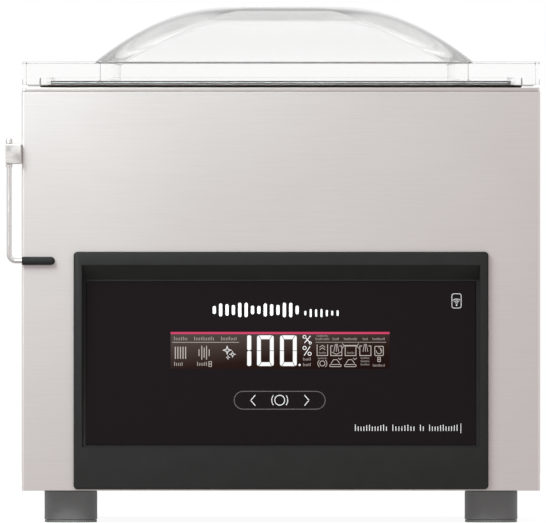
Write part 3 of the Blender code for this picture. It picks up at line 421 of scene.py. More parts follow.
def make_seal_rubber():
    """Silicone cord coloured in bands by height: a dark brown lip, two dark bands, a pale body, and
    a band of the pale at half brightness as painted shade.
    """
    made = material("seal_silicone", (0.5, 0.5, 0.49), 0.0, 0.55, Specular_IOR_Level=0.15)
    tree, foot = made.node_tree, span("lid_gasket")[0].z
    split = add(tree, "ShaderNodeSeparateXYZ", {"Vector": piece_place(tree)})
    height = add(tree, "ShaderNodeMapRange", {
        "Value": split.outputs["Z"], "From Min": foot, "From Max": foot + SEAL_HEIGHT})
    brown, dark, pale = (0.035, 0.022, 0.018), (0.020, 0.019, 0.018), (0.85, 0.84, 0.83)
    # Painted shade: the band just above the lip is the pale colour at half brightness.
    bands = banded(tree, height, ((0.0, brown), (0.37, scaled(pale, 0.5)), (0.49, dark),
                                  (0.65, pale), (0.84, dark)), "CONSTANT")
    feed(made, "Base Color", bands.outputs["Color"])
    vary_roughness(made, noise(made, 200.0), 0.48, 0.62)
    roughen(made, noise(made, 900.0), 0.02, 0.5)
    return made


def make_red_strip():
    colour = (0.40, 0.060, 0.040)
    made = material("red_silicone", colour, 0.0, 0.5)
    vary_colour(made, noise(made, 90.0), colour, 0.85, 1.1)
    roughen(made, noise(made, 1400.0), 0.02)
    return made


def make_woven_tape():
    """Brown PTFE-coated glass cloth, with its square weave showing."""
    colour = (0.30, 0.17, 0.075)
    made = material("ptfe_cloth", colour, 0.0, 0.42)
    vary_colour(made, noise(made, 70.0), colour, 0.8, 1.25)
    for direction in "XY":
        roughen(made, ripples(made, 420.0, direction), 0.03)
    return made


def make_white_board():
    """White polyethylene with faint knife marks."""
    colour = (0.82, 0.82, 0.80)
    made = material("polyethylene", colour, 0.0, 0.45, Subsurface_Weight=0.1)
    marks = noise(made, 1.0, 6.0, (30.0, 900.0, 30.0))
    vary_colour(made, noise(made, 12.0), colour, 0.965, 1.02)
    vary_roughness(made, marks, 0.38, 0.55)
    roughen(made, marks, 0.03, 0.4)
    return made


def make_circuit_board():
    """Green solder mask with tracks and vias in tinned copper."""
    colour = (0.010, 0.085, 0.035)
    made = material("circuit_board", colour, 0.0, 0.35)
    tracks = cells(made, 180.0, distance="MANHATTAN")
    vary_colour(made, tracks, colour, 0.7, 1.8)
    roughen(made, tracks, 0.05)
    return made


def make_pump_paint():
    colour = (0.10, 0.125, 0.15)
    made = material("hammered_paint", colour, 0.25, 0.4)
    dimples = cells(made, 260.0)
    vary_colour(made, noise(made, 30.0), colour, 0.9, 1.12)
    roughen(made, dimples, 0.12, 0.5)
    return made


def make_sight_glass():
    made = material("sight_glass", (0.85, 0.66, 0.22), 0.0, 0.02, Transmission_Weight=0.85,
                    IOR=1.47)
    roughen(made, noise(made, 200.0), 0.01, 0.3)
    return made


def make_winding():
    """Enamelled copper wire, laid side by side round the vertical core."""
    colour = (0.52, 0.20, 0.07)
    made = material("enamelled_copper", colour, 1.0, 0.3)
    turns = ripples(made, 330.0, "Z")
    vary_colour(made, turns, colour, 0.45, 1.1)
    roughen(made, turns, 0.25)
    return made


def make_hose():
    made = material("rubber_hose", (0.022, 0.022, 0.024), 0.0, 0.48)
    vary_roughness(made, noise(made, 260.0), 0.4, 0.58)
    roughen(made, noise(made, 1500.0), 0.02)
    return made


def make_panel_black():
    """Printed acrylic front sheet: deep black gloss with the slightest ripple."""
    made = material("panel_black", (0.0045, 0.0030, 0.0038), 0.0, 0.10, Specular_IOR_Level=0.18)
    vary_roughness(made, noise(made, 60.0), 0.08, 0.13)
    roughen(made, noise(made, 25.0, 1.0), 0.02, 0.2)
    return made


def make_ink(name, colour):
    """Screen-printed ink."""
    made = material(name, colour, 0.0, 0.55, Specular_IOR_Level=0.2)
    grains = noise(made, 2600.0)
    vary_colour(made, grains, colour, 0.93, 1.03)
    roughen(made, grains, 0.01, 0.4)
    return made


def make_segment(name, colour):
    """A lit display segment: its light is even, and little of the room's light shows on it."""
    made = material(name, scaled(colour, 0.03), 0.0, 0.3, Specular_IOR_Level=0.1,
                    Emission_Color=opaque(colour), Emission_Strength=1.0)
    vary_roughness(made, noise(made, 400.0), 0.25, 0.35)
    return made


def make_display_glass():
    """A dark glowing glass with painted light on it: its glow is brightest at the upper left, where
    the light falls, and fades to black at the lower right.
    """
    made = material("display_glass", (0.001, 0.001, 0.001), 0.0, 0.12, Specular_IOR_Level=0.06,
                    Emission_Strength=1.0)
    tree = made.node_tree
    low, high = span("display_module")
    split = add(tree, "ShaderNodeSeparateXYZ", {"Vector": piece_place(tree)})
    shares = [add(tree, "ShaderNodeMapRange", {
        "Value": split.outputs[axis], "From Min": start, "From Max": end, "To Max": weight})
        for axis, start, end, weight in (("X", low.x + MACHINE.x, high.x + MACHINE.x, 0.45),
                                         ("Z", high.z, low.z, 0.75))]
    total = add(tree, "ShaderNodeMath", dict(enumerate(shares)))
    # Painted light: the glow is brighter towards the upper left and darker towards the lower right,
    # following the room's light.
    glow_and_painted_light = banded(tree, total, ((0.0, (0.090, 0.073, 0.064)), (0.35, (0.066, 0.046, 0.041)),
                                (0.72, (0.020, 0.008, 0.006)), (1.0, (0.012, 0.003, 0.002))))
    feed(made, "Emission Color", glow_and_painted_light.outputs["Color"])
    return made


STEEL = brushed_steel("satin_steel", (0.725, 0.700, 0.690), 0.38, (30.0, 30.0, 1800.0))
CHAMBER_STEEL = brushed_steel("chamber_steel", (0.75, 0.715, 0.705), 0.32, (900.0, 60.0, 60.0))
POLISHED = smooth_metal("polished_steel", (0.80, 0.80, 0.80), 0.13)
ARM_STEEL = smooth_metal("arm_steel", (0.68, 0.69, 0.68), 0.30)
ARM_BLOCK_STEEL = smooth_metal("arm_block_steel", (0.60, 0.58, 0.565), 0.36)
ALUMINIUM = smooth_metal("satin_aluminium", (0.74, 0.75, 0.76), 0.36)
BRASS = smooth_metal("machined_brass", (0.72, 0.50, 0.20), 0.24)
ZINC = smooth_metal("zinc_screw", (0.62, 0.62, 0.63), 0.25)
ACRYLIC = make_acrylic()
SEAL_RUBBER = make_seal_rubber()
BLACK_RUBBER = moulded_plastic("black_rubber", (0.010, 0.010, 0.010), 0.6, 1200.0, 0.03, 0.15)
CHARCOAL = moulded_plastic("charcoal_plastic", (0.034, 0.035, 0.036), 0.5)
BEZEL_PLASTIC = moulded_plastic("bezel_plastic", (0.0135, 0.0135, 0.0130), 0.5, specular=0.10)
FOOT_RUBBER = moulded_plastic("foot_rubber", (0.100, 0.100, 0.100), 0.50, 1400.0, 0.02, 0.3)
PAD_RUBBER = moulded_plastic("pad_rubber", (0.125, 0.125, 0.125), 0.6, 1400.0, 0.03)
PANEL_BLACK = make_panel_black()
DISPLAY_GLASS = make_display_glass()
WHITE_INK = make_ink("white_ink", (0.70, 0.70, 0.70))
SILVER_INK = make_ink("silver_ink", (0.50, 0.49, 0.49))
GREY_INK = make_ink("grey_ink", (0.075, 0.066, 0.068))
LIT = make_segment("lit_segment", (0.93, 0.93, 0.93))
LIT_DIM = make_segment("dim_segment", (0.50, 0.45, 0.42))
LIT_RED = make_segment("red_segment", (0.60, 0.055, 0.135))

# The finish of each material slot's CAD nodes that stay visible
SLOT_FINISH = {
    "stainless": STEEL, "polished_steel": POLISHED, "aluminium": ALUMINIUM, "acrylic": ACRYLIC,
    "gasket_silicone": SEAL_RUBBER, "red_silicone": make_red_strip(), "black_rubber": BLACK_RUBBER,
    "charcoal_plastic": CHARCOAL, "gloss_black": PANEL_BLACK, "display": DISPLAY_GLASS,
    "circuit_board": make_circuit_board(), "white_board": make_white_board(),
    "ptfe_tape": make_woven_tape(), "pump_paint": make_pump_paint(),
    "sight_glass": make_sight_glass(), "copper": make_winding(), "hose": make_hose(),
    "brass": BRASS,
}


# ---- CAD nodes that stay

def make_welder():
    """Geometry nodes that join a CAD mesh's split corners and smooth it between sharp edges."""
    tree = bpy.data.node_groups.new("weld_and_shade", "GeometryNodeTree")
    for side in ("INPUT", "OUTPUT"):
        tree.interface.new_socket("Geometry", in_out=side, socket_type="NodeSocketGeometry")
    entry = add(tree, "NodeGroupInput", {})
    merge = add(tree, "GeometryNodeMergeByDistance", {"Geometry": entry, "Distance": 0.002 * MM})
    forget = add(tree, "GeometryNodeRemoveAttribute", {"Geometry": merge, "Name": "custom_normal"})
    faces = add(tree, "GeometryNodeSetShadeSmooth", {"Geometry": forget}, domain="FACE")
    turn = add(tree, "GeometryNodeInputMeshEdgeAngle", {}).outputs["Unsigned Angle"]
    flat = add(tree, "FunctionNodeCompare", {"A": turn, "B": math.radians(32.0)},
               data_type="FLOAT", operation="LESS_THAN")
    edges = add(tree, "GeometryNodeSetShadeSmooth", {"Geometry": faces, "Shade Smooth": flat},
                domain="EDGE")
    add(tree, "NodeGroupOutput", {0: edges})
    return tree


WELDER = make_welder()
EDGE_RADIUS = {
    "hinge_block_left": 0.4 * MM, "hinge_block_right": 0.4 * MM, "power_inlet": 0.4 * MM,
    "power_rocker": 0.5 * MM, "power_switch_frame": 0.5 * MM, "seal_bar": 0.4 * MM,
    "filler_plate": 0.8 * MM,
}


def dress_frame():
    """Finish the visible CAD nodes; modifiers alone smooth them and round their edges."""
    for entry in frame["record"]["subparts"]:
        node = entry["node"]
        made = frame["nodes"][node]
        if made.hide_render:
            continue
        made.material_slots[0].material = SLOT_FINISH[entry["material_slot"]]
        made.modifiers.new("weld", "NODES").node_group = WELDER
        if node in EDGE_RADIUS:
            flatten = made.modifiers.new("flatten", "DECIMATE")
            flatten.decimate_type = "DISSOLVE"
            flatten.angle_limit = math.radians(1.0)
            round_edges(made, EDGE_RADIUS[node])
            flatten_normals(made)


# ---- casing and chamber

def make_casing():
    low, high = span("body_casing")
    half_y, lip = CASING_HALF_DEPTH, 0.3 * MM

    def ring(inset, z):
        return rounded_ring(high.x - inset, half_y - inset, max(1.6 * MM - inset, 1 * MM), z)

    def opening(half_x, half_z, radius, middle_z, wall):
        return upright([rounded_ring(half_x * MM, half_z * MM, radius * MM, wall + reach,
                                     (0.0, middle_z * MM), 6) for reach in mm(-10, 10)])

    shell = [ring(lip, low.z), ring(0.0, low.z + lip), ring(0.0, high.z - lip),
             ring(lip / 2, high.z - lip / 2), ring(lip, high.z), ring(SHEET, high.z),
             ring(SHEET, low.z)]
    casing = piece("casing_shell", loft(shell, closed=True), STEEL,
                   ("body_casing",))
    carve(casing, [opening(162.2, 80, 4, 130, half_y), opening(190, 142.5, 6, 182.5, -half_y)])


def make_chamber():
    """The deck and the deep-drawn tub in one sheet."""
    low, high = span("chamber_tub")
    deck_low, deck_top, floor, front, rear = mm(345.6, 348.4, 238, -207, 160)
    centre, half_depth = (0.0, (front + rear) / 2), (rear - front) / 2
    half_width, corner, fillet, lip = mm(175, 30, 12, 2)

    def tub(outset, z, floor_inset=0.0):
        step = outset - floor_inset
        return rounded_ring(half_width + step, half_depth + step, corner + step, z, centre, 16)

    def deck(z, inset=0.0):
        return rounded_ring(high.x - inset, (high.y - low.y) / 2 - inset, 1.6 * MM - inset, z,
                            steps=16)

    rings = [tub(0.0, floor + fillet * along, fillet * across) for along, across in quarter_arc(8)]
    rings += [tub(lip * along, deck_top - lip * across) for along, across in quarter_arc(4)]
    rings += [deck(deck_top, 0.3 * MM), deck(deck_top - 0.1 * MM, 0.1 * MM),
              deck(deck_top - 0.3 * MM), deck(deck_low + 0.3 * MM), deck(deck_low, 0.3 * MM),
              tub(SHEET, deck_low)]
    rings += [tub(SHEET, floor - SHEET + fillet * along, fillet * across)
              for along, across in reversed(quarter_arc(6))]
    tub_piece = piece("deck_and_chamber", loft(rings), CHAMBER_STEEL,
                      ("chamber_tub",))
    through = mm(-20, 20)
    holes = [block(mm(-79.5, 183, 330), mm(-62.5, 221.5, 360)),
             rod(7 * MM, *through, mm(90, 160, 322), "Y")]
    for side in (-1, 1):
        near, far = sorted((side * 84, side * 137))
        holes += [block(mm(near, 204, 330), mm(far, 220, 360)),
                  rod(4.8 * MM, *through, mm(side * 115, -190, 238)),
                  rod(3.6 * MM, *through, mm(side * 60, -172, 238))]
    carve(tub_piece, holes)


# ---- lid

def seal_ring(half_width, z):
    """A rounded rectangle that follows the chamber's rim."""
    return rounded_ring(half_width, half_width + 8.3 * MM, half_width - 178.6 * MM, z,
                        mm(0, -23.5), 16)


def make_lid():
    """One clear sheet: a thick slab with a vertical-walled opening under a blown dome."""
    low, high = span("lid")
    underside, slab_top, wall, edge = low.z, 369.2 * MM, 3.4 * MM, 0.5 * MM
    rise = high.z - slab_top
    dome_centre = mm(2.6, -3.0)
    dome_x, dome_y, opening_x = mm(153.5, 141.5, 149.5)
    # The dome's flat top spans this share of its width, and its height falls with this power
    flat_share, fall = 0.349, 1.827
    steps, meeting_share = 36, 0.988
    shares = [flat_share + (1 - flat_share) * math.sin(QUARTER * k / steps) ** 1.2
              for k in range(steps, -1, -1)]

    def dome_ring(share, depth=0.0):
        fallen = (share - flat_share) / (1 - flat_share)
        lean = math.atan(rise * fall * fallen ** (fall - 1) / (dome_x * (1 - flat_share)))
        inset = depth * math.sin(lean)
        half_y = dome_y * share - inset
        z = slab_top + rise * (1 - fallen ** fall) - depth * math.cos(lean)
        return rounded_ring(dome_x * share - inset, half_y, half_y * (0.15 + 0.75 * (1 - share)), z,
                            dome_centre, 16)

    def opening(z, inset=0.0):
        return rounded_ring(opening_x - inset, opening_x - inset + dome_y - dome_x,
                            21 * MM - inset, z, dome_centre, 16)

    def slab(inset, z):
        return rounded_ring(high.x - inset, (high.y - low.y) / 2 - inset, 1.0 * MM, z,
                            (0.0, (high.y + low.y) / 2), 16)

    ceiling = underside + 6 * MM
    groove_inner, groove_outer = mm(182.6, 193.6)
    rings = [dome_ring(share, wall) for share in reversed(shares) if share < meeting_share]
    rings += [dome_ring(meeting_share, wall), opening(slab_top - 1.3 * MM),
              opening(underside + 0.3 * MM), opening(underside, -0.3 * MM)]
    rings += [seal_ring(groove_inner, underside), seal_ring(groove_inner, ceiling),
              seal_ring(groove_outer, ceiling), seal_ring(groove_outer, underside)]
    rings += [slab(edge, underside), slab(0.3 * edge, underside + 0.3 * edge),
              slab(0.0, underside + edge), slab(0.0, slab_top - edge),
              slab(0.3 * edge, slab_top - 0.3 * edge), slab(edge, slab_top)]
    rings += [dome_ring(share) for share in shares]
    lid = piece("clear_lid", loft(rings), ACRYLIC, ("lid",), "lid", 30.0)
    rebates = []
    for side in (-1, 1):
        near, far = sorted((side * 79.5 * MM, side * 122.5 * MM))
        rebates.append(block((near, *mm(180.5, 340)), (far, 206 * MM, underside + 4 * MM)))
    carve(lid, rebates, sharp=30.0)


def make_lid_seal():
    """A silicone cord: a broad lip that meets the deck, and a ribbed stem in the lid's groove."""
    low, high = span("lid_gasket")
    outer, inner = high.x, high.x - 10.2 * MM
    stem, lip, shelf = inner + 4.0 * MM, 1.2 * MM, 1.75 * MM
    waist = [mm(0.0, 3.4), mm(0.5, 3.6), mm(0.5, 4.1), mm(0.0, 4.3)]
    profile = [(outer, lip), (outer, shelf), (stem, shelf)]
    profile += [(stem - depth, height) for depth, height in waist]
    profile += [(stem, SEAL_HEIGHT), (inner, SEAL_HEIGHT)]
    profile += [(inner + depth, height) for depth, height in reversed(waist)]
    profile += [(inner, lip), (inner + 0.35 * lip, 0.35 * lip), (inner + lip, 0.0),
                (outer - lip, 0.0), (outer - 0.35 * lip, 0.35 * lip)]
    rings = [seal_ring(half_width, low.z + height) for half_width, height in profile]
    piece("lid_seal", loft(rings, closed=True), SEAL_RUBBER,
          ("lid_gasket",), "lid", 50.0)


# ---- control front

PANEL_LOW, PANEL_HIGH = span("touch_panel")
PANEL_SHEET = 3.0 * MM
PANEL_LEAN = (PANEL_HIGH.y - PANEL_SHEET - PANEL_LOW.y) / (PANEL_HIGH.z - PANEL_LOW.z)
PANEL_TILT = math.atan(PANEL_LEAN)
PANEL_OUT = Vector((0.0, -math.cos(PANEL_TILT), math.sin(PANEL_TILT)))


def on_panel(x, z, out=0.0):
    """A point on the leaning front panel, out metres in front of its face."""
    return Vector((x, PANEL_LOW.y + (z - PANEL_LOW.z) * PANEL_LEAN, z)) + out * PANEL_OUT


def make_bezel():
    low, high = span("control_bezel")
    face, wall = low.y, -CASING_HALF_DEPTH - GAP
    half_z, middle = (high.z - low.z) / 2, (0.0, (high.z + low.z) / 2)
    corner, edge, mouth = mm(3.2, 1.2, 4)
    depths = [(0.0, -wall), (0.0, -face - edge), (0.35 * edge, -face - 0.35 * edge), (edge, -face)]
    rings = [rounded_ring(high.x - inset, half_z - inset, corner - inset, z, middle, 10)
             for inset, z in depths]
    bezel = piece("bezel_frame", upright(rings), BEZEL_PLASTIC,
                  ("control_bezel",))
    back = upright([rounded_ring(*mm(161.8, 79.5, 3.5), z, mm(0, 130), 10)
                    for z in (CASING_HALF_DEPTH + 3 * MM, 226.5 * MM)])
    carve(bezel, [back], "UNION")
    recess_x, recess_low, recess_top, shelf = mm(159.6, 60.4, 206.2, 194.6)
    recess = hull([(side * recess_x, face - mouth, z) for side in (-1, 1)
                   for z in (recess_low - 0.5 * MM, recess_top + mouth)]
                  + [(side * (recess_x - 0.6 * MM), on_panel(0.0, z, -0.5 * MM).y, z)
                     for side in (-1, 1) for z in (recess_low + 0.4 * MM, shelf)])
    pocket = hull([on_panel(side * (PANEL_HIGH.x + GAP), z, out) for side in (-1, 1)
                   for z in (PANEL_LOW.z - GAP, PANEL_HIGH.z + GAP) for out in mm(4, -3.3)])
    low, high = span("display_module")
    margin = 1 * MM
    window = block((low.x - margin, face, low.z - margin),
                   (high.x + margin, -220 * MM, high.z + margin))
    carve(bezel, [recess, pocket, window])
    bezel.modifiers.clear()
    round_edges(bezel, 0.35 * MM)


def make_touch_panel():
    middle = (0.0, (PANEL_LOW.z + PANEL_HIGH.z) / 2)
    half_z, corner = (PANEL_HIGH.z - PANEL_LOW.z) / 2, 1.2 * MM
    rings = []
    for inset, out in (mm(0.0, -3), mm(0.0, -0.4), mm(0.12, -0.12), mm(0.4, 0.0)):
        ring = rounded_ring(PANEL_HIGH.x - inset, half_z - inset, corner - inset, 0.0, middle, 6)
        rings.append([on_panel(point.x, point.y, out) for point in ring])
    piece("front_sheet", loft(rings), PANEL_BLACK, ("touch_panel",))


# ---- printed and lit marks on the panel

class Marks:
    """Flat shapes on the front panel, drawn in millimetres and gathered into one piece."""

    def __init__(self, out, thickness):
        self.bm = bmesh.new()
        self.heights = mm(out, out + thickness)

    def shape(self, outline, hole=None):
        """An outline with an optional hole of equally many points."""
        def pair(points):
            return [[self.bm.verts.new(on_panel(x * MM, z * MM, out)) for x, z in points]
                    for out in self.heights]

        back, front = pair(outline)
        strips = [(back, front)]
        if hole is None:
            self.bm.faces.new(back)
            self.bm.faces.new(front)
        else:
            hole_back, hole_front = pair(hole)
            strips += [(hole_front, hole_back), (front, hole_front), (hole_back, back)]
        for low, high in strips:
            strip(self.bm, low, high)

    def bar(self, left, right, low, high, radius=0.0):
        self.shape(rounded_outline(left, right, low, high, radius))

    def frame(self, left, right, low, high, line, radius):
        self.shape(rounded_outline(left, right, low, high, radius),
                   rounded_outline(left + line, right - line, low + line, high - line,
                                   max(radius - line, 0.01)))

    def dot(self, x, z, radius, sides=20):
        self.shape(arc((x, z), radius, 0, 360 - 360 / sides, sides - 1))

    def ring(self, x, z, radius, line, sides):
        self.shape(*(arc((x, z), reach, 0, 360 - 360 / sides, sides - 1)
                     for reach in (radius, radius - line)))

    def bow(self, x, z, radius, line, start, end, steps=10):
        """Part of a ring."""
        self.shape(arc((x, z), radius, start, end, steps)
                   + arc((x, z), radius - line, end, start, steps))

    def stroke(self, points, line):
        """A line of even width through points, each leg a bar with square ends."""
        for (x0, z0), (x1, z1) in zip(points, points[1:]):
            along = Vector((x1 - x0, z1 - z0)).normalized() * line / 2
            side = Vector((-along.y, along.x))
            a, b = Vector((x0, z0)) - along, Vector((x1, z1)) + along
            self.shape([tuple(a - side), tuple(b - side), tuple(b + side), tuple(a + side)])

    def word(self, left, right, low, high):
        """Stands for a word without lettering: a row of thin upright ticks."""
        height = high - low
        count = max(2, round((right - left) / (0.46 * height)))
        pitch = (right - left) / count
        half = 0.065 * height
        for i in range(count):
            x = left + pitch * (i + 0.5)
            shrink = (0.0, 0.28, 0.28, 0.10, 0.28)[i * 7 % 5] * height
            self.bar(x - half, x + half, low, high - shrink)

    def finish(self, name, ink, slot):
        bmesh.ops.recalc_face_normals(self.bm, faces=self.bm.faces)
        return piece(name, self.bm, ink)


def rounded_outline(left, right, low, high, radius, steps=5):
    """A rectangle with optional round corners, as points in the panel's plane."""
    if radius <= 0.0:
        return [(right, high), (left, high), (left, low), (right, low)]
    half_x, half_z = (right - left) / 2, (high - low) / 2
    ring = rounded_ring(half_x, half_z, min(radius, half_x, half_z), 0.0,
                        ((left + right) / 2, (low + high) / 2), steps)
    return [(point.x, point.y) for point in ring]


def make_display():
    """The lit window: its glass, its figures, and its rows of symbols."""
    left, right, low, high = -88.4, 86.9, 123.2, 152.8
    glass = Marks(0.02, 0.03)
    glass.bar(left, right, low, high)
    glass.finish("display_glass", DISPLAY_GLASS, "display")

    red = Marks(0.06, 0.03)
    red.bar(left, right, high - 1.7, high)
    red.finish("display_red_line", LIT_RED, "display")

    lit = Marks(0.06, 0.03)
    for low, high in ((138.2, 150.1), (125.6, 137.6)):
        lit.bar(-27.1, -23.8, low, high, 1.2)
    for x in (-19.2, -0.8):
        draw_zero(lit, x, x + 13.4, 125.5, 150.1, 3.1)
    lit.dot(14.9, 126.4, 0.9)
    for x, z, reach in ((-43.1, 138.2, 3.9), (-38.8, 134.9, 2.8), (-42.4, 132.4, 1.9)):
        lit.shape(star(x, z, reach, reach * 0.36), star(x, z, reach * 0.74, reach * 0.18))
    draw_unit_column(lit)
    lit.finish("display_figures", LIT, "display")

    dim = Marks(0.06, 0.03)
    for i in range(5):
        x = -84.6 + 2.06 * i
        dim.bar(x - 0.4, x + 0.4, 131.3, 141.0)
    for x, reach in zip((-65.6, -63.4, -61.5, -59.6, -57.5), (2.7, 5.5, 4.0, 5.5, 2.7)):
        dim.bar(x - 0.35, x + 0.35, 136.2 - reach, 136.2 + reach)
    draw_function_icons(dim)
    for row_low, row_high, words in (
            (146.1, 149.0, ((-86.0, -74.7), (-69.9, -53.4), (-48.3, -35.3))),
            (125.7, 129.0, ((-86.0, -78.4), (-67.6, -58.9))),
            (146.3, 148.3, ((27.4, 38.9), (41.1, 46.4), (50.1, 61.1), (65.3, 69.6), (73.0, 83.2))),
            (149.0, 150.6, ((28.5, 37.8),)), (131.2, 132.5, ((29.4, 36.8),)),
            (129.9, 132.3, ((17.4, 24.0),)), (125.5, 127.9, ((17.4, 24.0),)),
            (131.2, 132.9, ((63.7, 70.8),)), (128.6, 130.3, ((63.7, 70.8),)),
            (126.0, 127.7, ((63.7, 70.8),)), (125.1, 127.2, ((73.3, 83.2),))):
        for start, end in words:
            dim.word(start, end, row_low, row_high)
    dim.bar(-87.0, -33.7, 144.3, 144.7)
    dim.bar(27.6, 84.1, 144.4, 144.7)
    dim.finish("display_labels", LIT_DIM, "display")


def draw_zero(marks, left, right, low, high, line):
    """A seven-segment nought: six bars with mitred ends and hairline joints."""
    middle, joint, corner, chamfer = (low + high) / 2, 0.2, 1.3, 0.38
    for side, inward in ((left, 1), (right, -1)):
        inner = side + inward * line
        for near, far, up in ((middle + joint, high - joint, 1), (middle - joint, low + joint, -1)):
            marks.shape([(side, near), (side, far - up * corner),
                         (side + inward * chamfer, far - up * chamfer),
                         (side + inward * corner, far), (inner, far - up * line), (inner, near)])
    step = corner + 2 * joint
    for z, up in ((high, -1), (low, 1)):
        marks.shape([(left + step, z), (right - step, z), (right - line - 2 * joint, z + up * line),
                     (left + line + 2 * joint, z + up * line)])


def star(x, z, reach, waist):
    """Outline of a four-pointed star."""
    points = []
    for i in range(8):
        radius, angle = waist if i % 2 else reach, math.radians(45 * i)
        points.append((x + radius * math.cos(angle), z + radius * math.sin(angle)))
    return points


def draw_unit_column(marks):
    """Crossed tools and a percent sign beside the figures."""
    marks.stroke([(19.6, 148.2), (23.0, 144.4)], 0.7)
    marks.stroke([(23.4, 149.4), (19.0, 144.2)], 0.7)
    marks.bow(18.8, 148.9, 1.5, 0.6, -10, 280)
    marks.ring(23.4, 144.0, 1.2, 0.5, 16)
    marks.stroke([(18.7, 134.2), (23.1, 141.0)], 0.65)
    marks.ring(18.9, 140.0, 1.6, 0.6, 20)
    marks.ring(22.9, 135.3, 1.6, 0.6, 20)


def draw_function_icons(marks):
    """Two rows of line symbols at the right of the display."""
    bold, fine, hair = 0.6, 0.5, 0.45
    low, high = 133.9, 141.6
    # An open tray under two arrows
    marks.stroke([(28.9, 142.4), (28.9, low), (37.3, low), (37.3, 142.4)], bold)
    for z in (138.6, 140.6):
        marks.stroke([(31.0, z), (33.1, z + 1.5), (35.2, z)], fine)
    marks.word(30.2, 36.0, 135.4, 137.0)
    # Two trays, each with three jets
    for left, right in ((39.8, 48.7), (63.1, 72.0)):
        middle = (left + right) / 2
        marks.stroke([(left + 1.6, high), (left, high), (left, low), (right, low), (right, high),
                      (right - 1.6, high)], bold)
        for lean in (-1, 0, 1):
            marks.stroke([(middle + 0.8 * lean, 143.0), (middle + 1.9 * lean, 137.2)], hair)
    marks.stroke([(40.8, 136.6), (44.25, 134.9), (47.7, 136.6)], fine)
    # A tray closed by a crossed bar
    marks.stroke([(51.4, 140.8), (51.4, low), (60.0, low), (60.0, 140.8)], bold)
    marks.bar(50.6, 60.8, 141.3, 142.3)
    for x, out in ((50.6, -1), (60.8, 1)):
        marks.stroke([(x + out * 1.3, 143.4), (x, 141.8), (x + out * 1.3, 139.8)], hair)
    marks.word(52.8, 58.8, 135.4, 137.0)
    # A turning arrow in a frame
    marks.frame(74.8, 82.2, low - 0.3, high, bold, 1.0)
    marks.bow(78.5, 137.5, 2.4, fine, -190, 60, 16)
    marks.stroke([(78.2, 140.4), (79.9, 139.5), (79.6, 137.7)], hair)
    # A ring between two bows
    marks.ring(33.1, 127.6, 2.3, 0.55, 24)
    for start, end in ((130, 230), (-50, 50)):
        marks.bow(33.1, 127.6, 3.9, fine, start, end)
    # Two dishes on plates
    for left, right in ((38.8, 48.4), (50.6, 60.4)):
        middle = (left + right) / 2
        marks.frame(left, right, 124.8, 127.0, fine, 1.0)
        marks.stroke([(left + 1.4, 127.8), (middle - 1.5, 130.6), (middle + 1.2, 130.6),
                      (right - 1.6, 127.8)], fine)
        marks.stroke([(right - 2.4, 131.8), (right - 1.2, 130.6), (right + 0.2, 131.8)], hair)
    # Two pairs of small boxes
    for x, base, top in ((-58.0, 124.9, 129.4), (77.2, 128.8, 132.8)):
        middle = (base + top) / 2
        marks.frame(x, x + 2.6, base, middle + 0.2, fine, 0.3)
        marks.frame(x, x + 2.6, middle - 0.2, top, fine, 0.3)


def make_printing():
    """Marks printed on the black sheet, none of them lettering."""
    white = Marks(0.0, 0.02)
    shares = (0.55, 1.0, 0.7, 0.9, 0.6, 1.0, 0.8)
    for count, start, pitch, middle, tall, half, stride in (
            (14, -53.4, 5.1, 170.4, 5.8, 1.3, 3), (7, 19.5, 4.3, 167.9, 3.3, 0.8, 5)):
        for i in range(count):
            x, reach = start + pitch * i, tall * shares[i * stride % 7]
            white.bar(x - half, x + half, middle - reach, middle + reach, half - 0.01)
    white.finish("panel_printing", WHITE_INK, "gloss_black")

    symbols = Marks(0.0, 0.02)
    for start, end in ((58.4, 85.5), (88.3, 107.6), (110.5, 115.0), (117.8, 142.0)):
        symbols.word(start, end, 73.6, 78.6)
    symbols.bar(143.7, 144.2, 71.8, 79.6)
    symbols.frame(136.6, 144.5, 171.7, 183.6, 0.5, 1.8)
    for radius in (1.85, 3.35, 4.85):
        symbols.bow(140.55, 174.6, radius, 0.5, 50, 130)
    symbols.dot(140.55, 174.3, 0.6)
    for x, out in ((-22.5, 1), (20.7, -1)):
        symbols.stroke([(x + out * 1.7, 102.1), (x - out * 1.7, 98.1), (x + out * 1.7, 94.1)], 0.65)
    symbols.ring(-1.0, 98.2, 4.3, 0.65, 36)
    for start, end in ((142, 218), (-38, 38)):
        symbols.bow(-1.0, 98.2, 6.7, 0.6, start, end)
    symbols.finish("panel_symbols", SILVER_INK, "gloss_black")

    grey = Marks(0.0, 0.02)
    grey.frame(-37.8, 35.7, 90.7, 105.6, 0.65, 7.4)
    grey.finish("touch_strip_outline", GREY_INK, "gloss_black")


# ---- feet and swing arm

def make_feet():
    pad = [mm(*point) for point in ((7.0, 0.0), (20.3, 0.0), (20.9, 0.6), (20.9, 2.0), (18.8, 2.0),
                                    (18.8, 2.8), (6.0, 2.8), (6.0, 1.0))]
    for node in ("foot_front_left", "foot_front_right", "foot_rear_left", "foot_rear_right"):
        low, high = span(node)
        centre = ((low.x + high.x) / 2, (low.y + high.y) / 2, 0.0)
        radius, top = (high.x - low.x) / 2, high.z
        body = [mm(*point) for point in ((5.5, 12), (5.5, 3), (19, 3), (19, 2.2))]
        body += [(radius - inset, z) for inset, z in (mm(0.8, 2.2), mm(0.2, 2.5), mm(0.0, 3.1))]
        body += [(radius - inset, top - drop) for inset, drop in (mm(0, 1), mm(0.3, 0.3), mm(1, 0))]
        body.append((0.0, top))
        piece(f"{node}_body", turned(body, centre, sides=72), FOOT_RUBBER,
              (node,))
        piece(f"{node}_pad", turned(pad, centre, sides=72, closed=True), PAD_RUBBER)


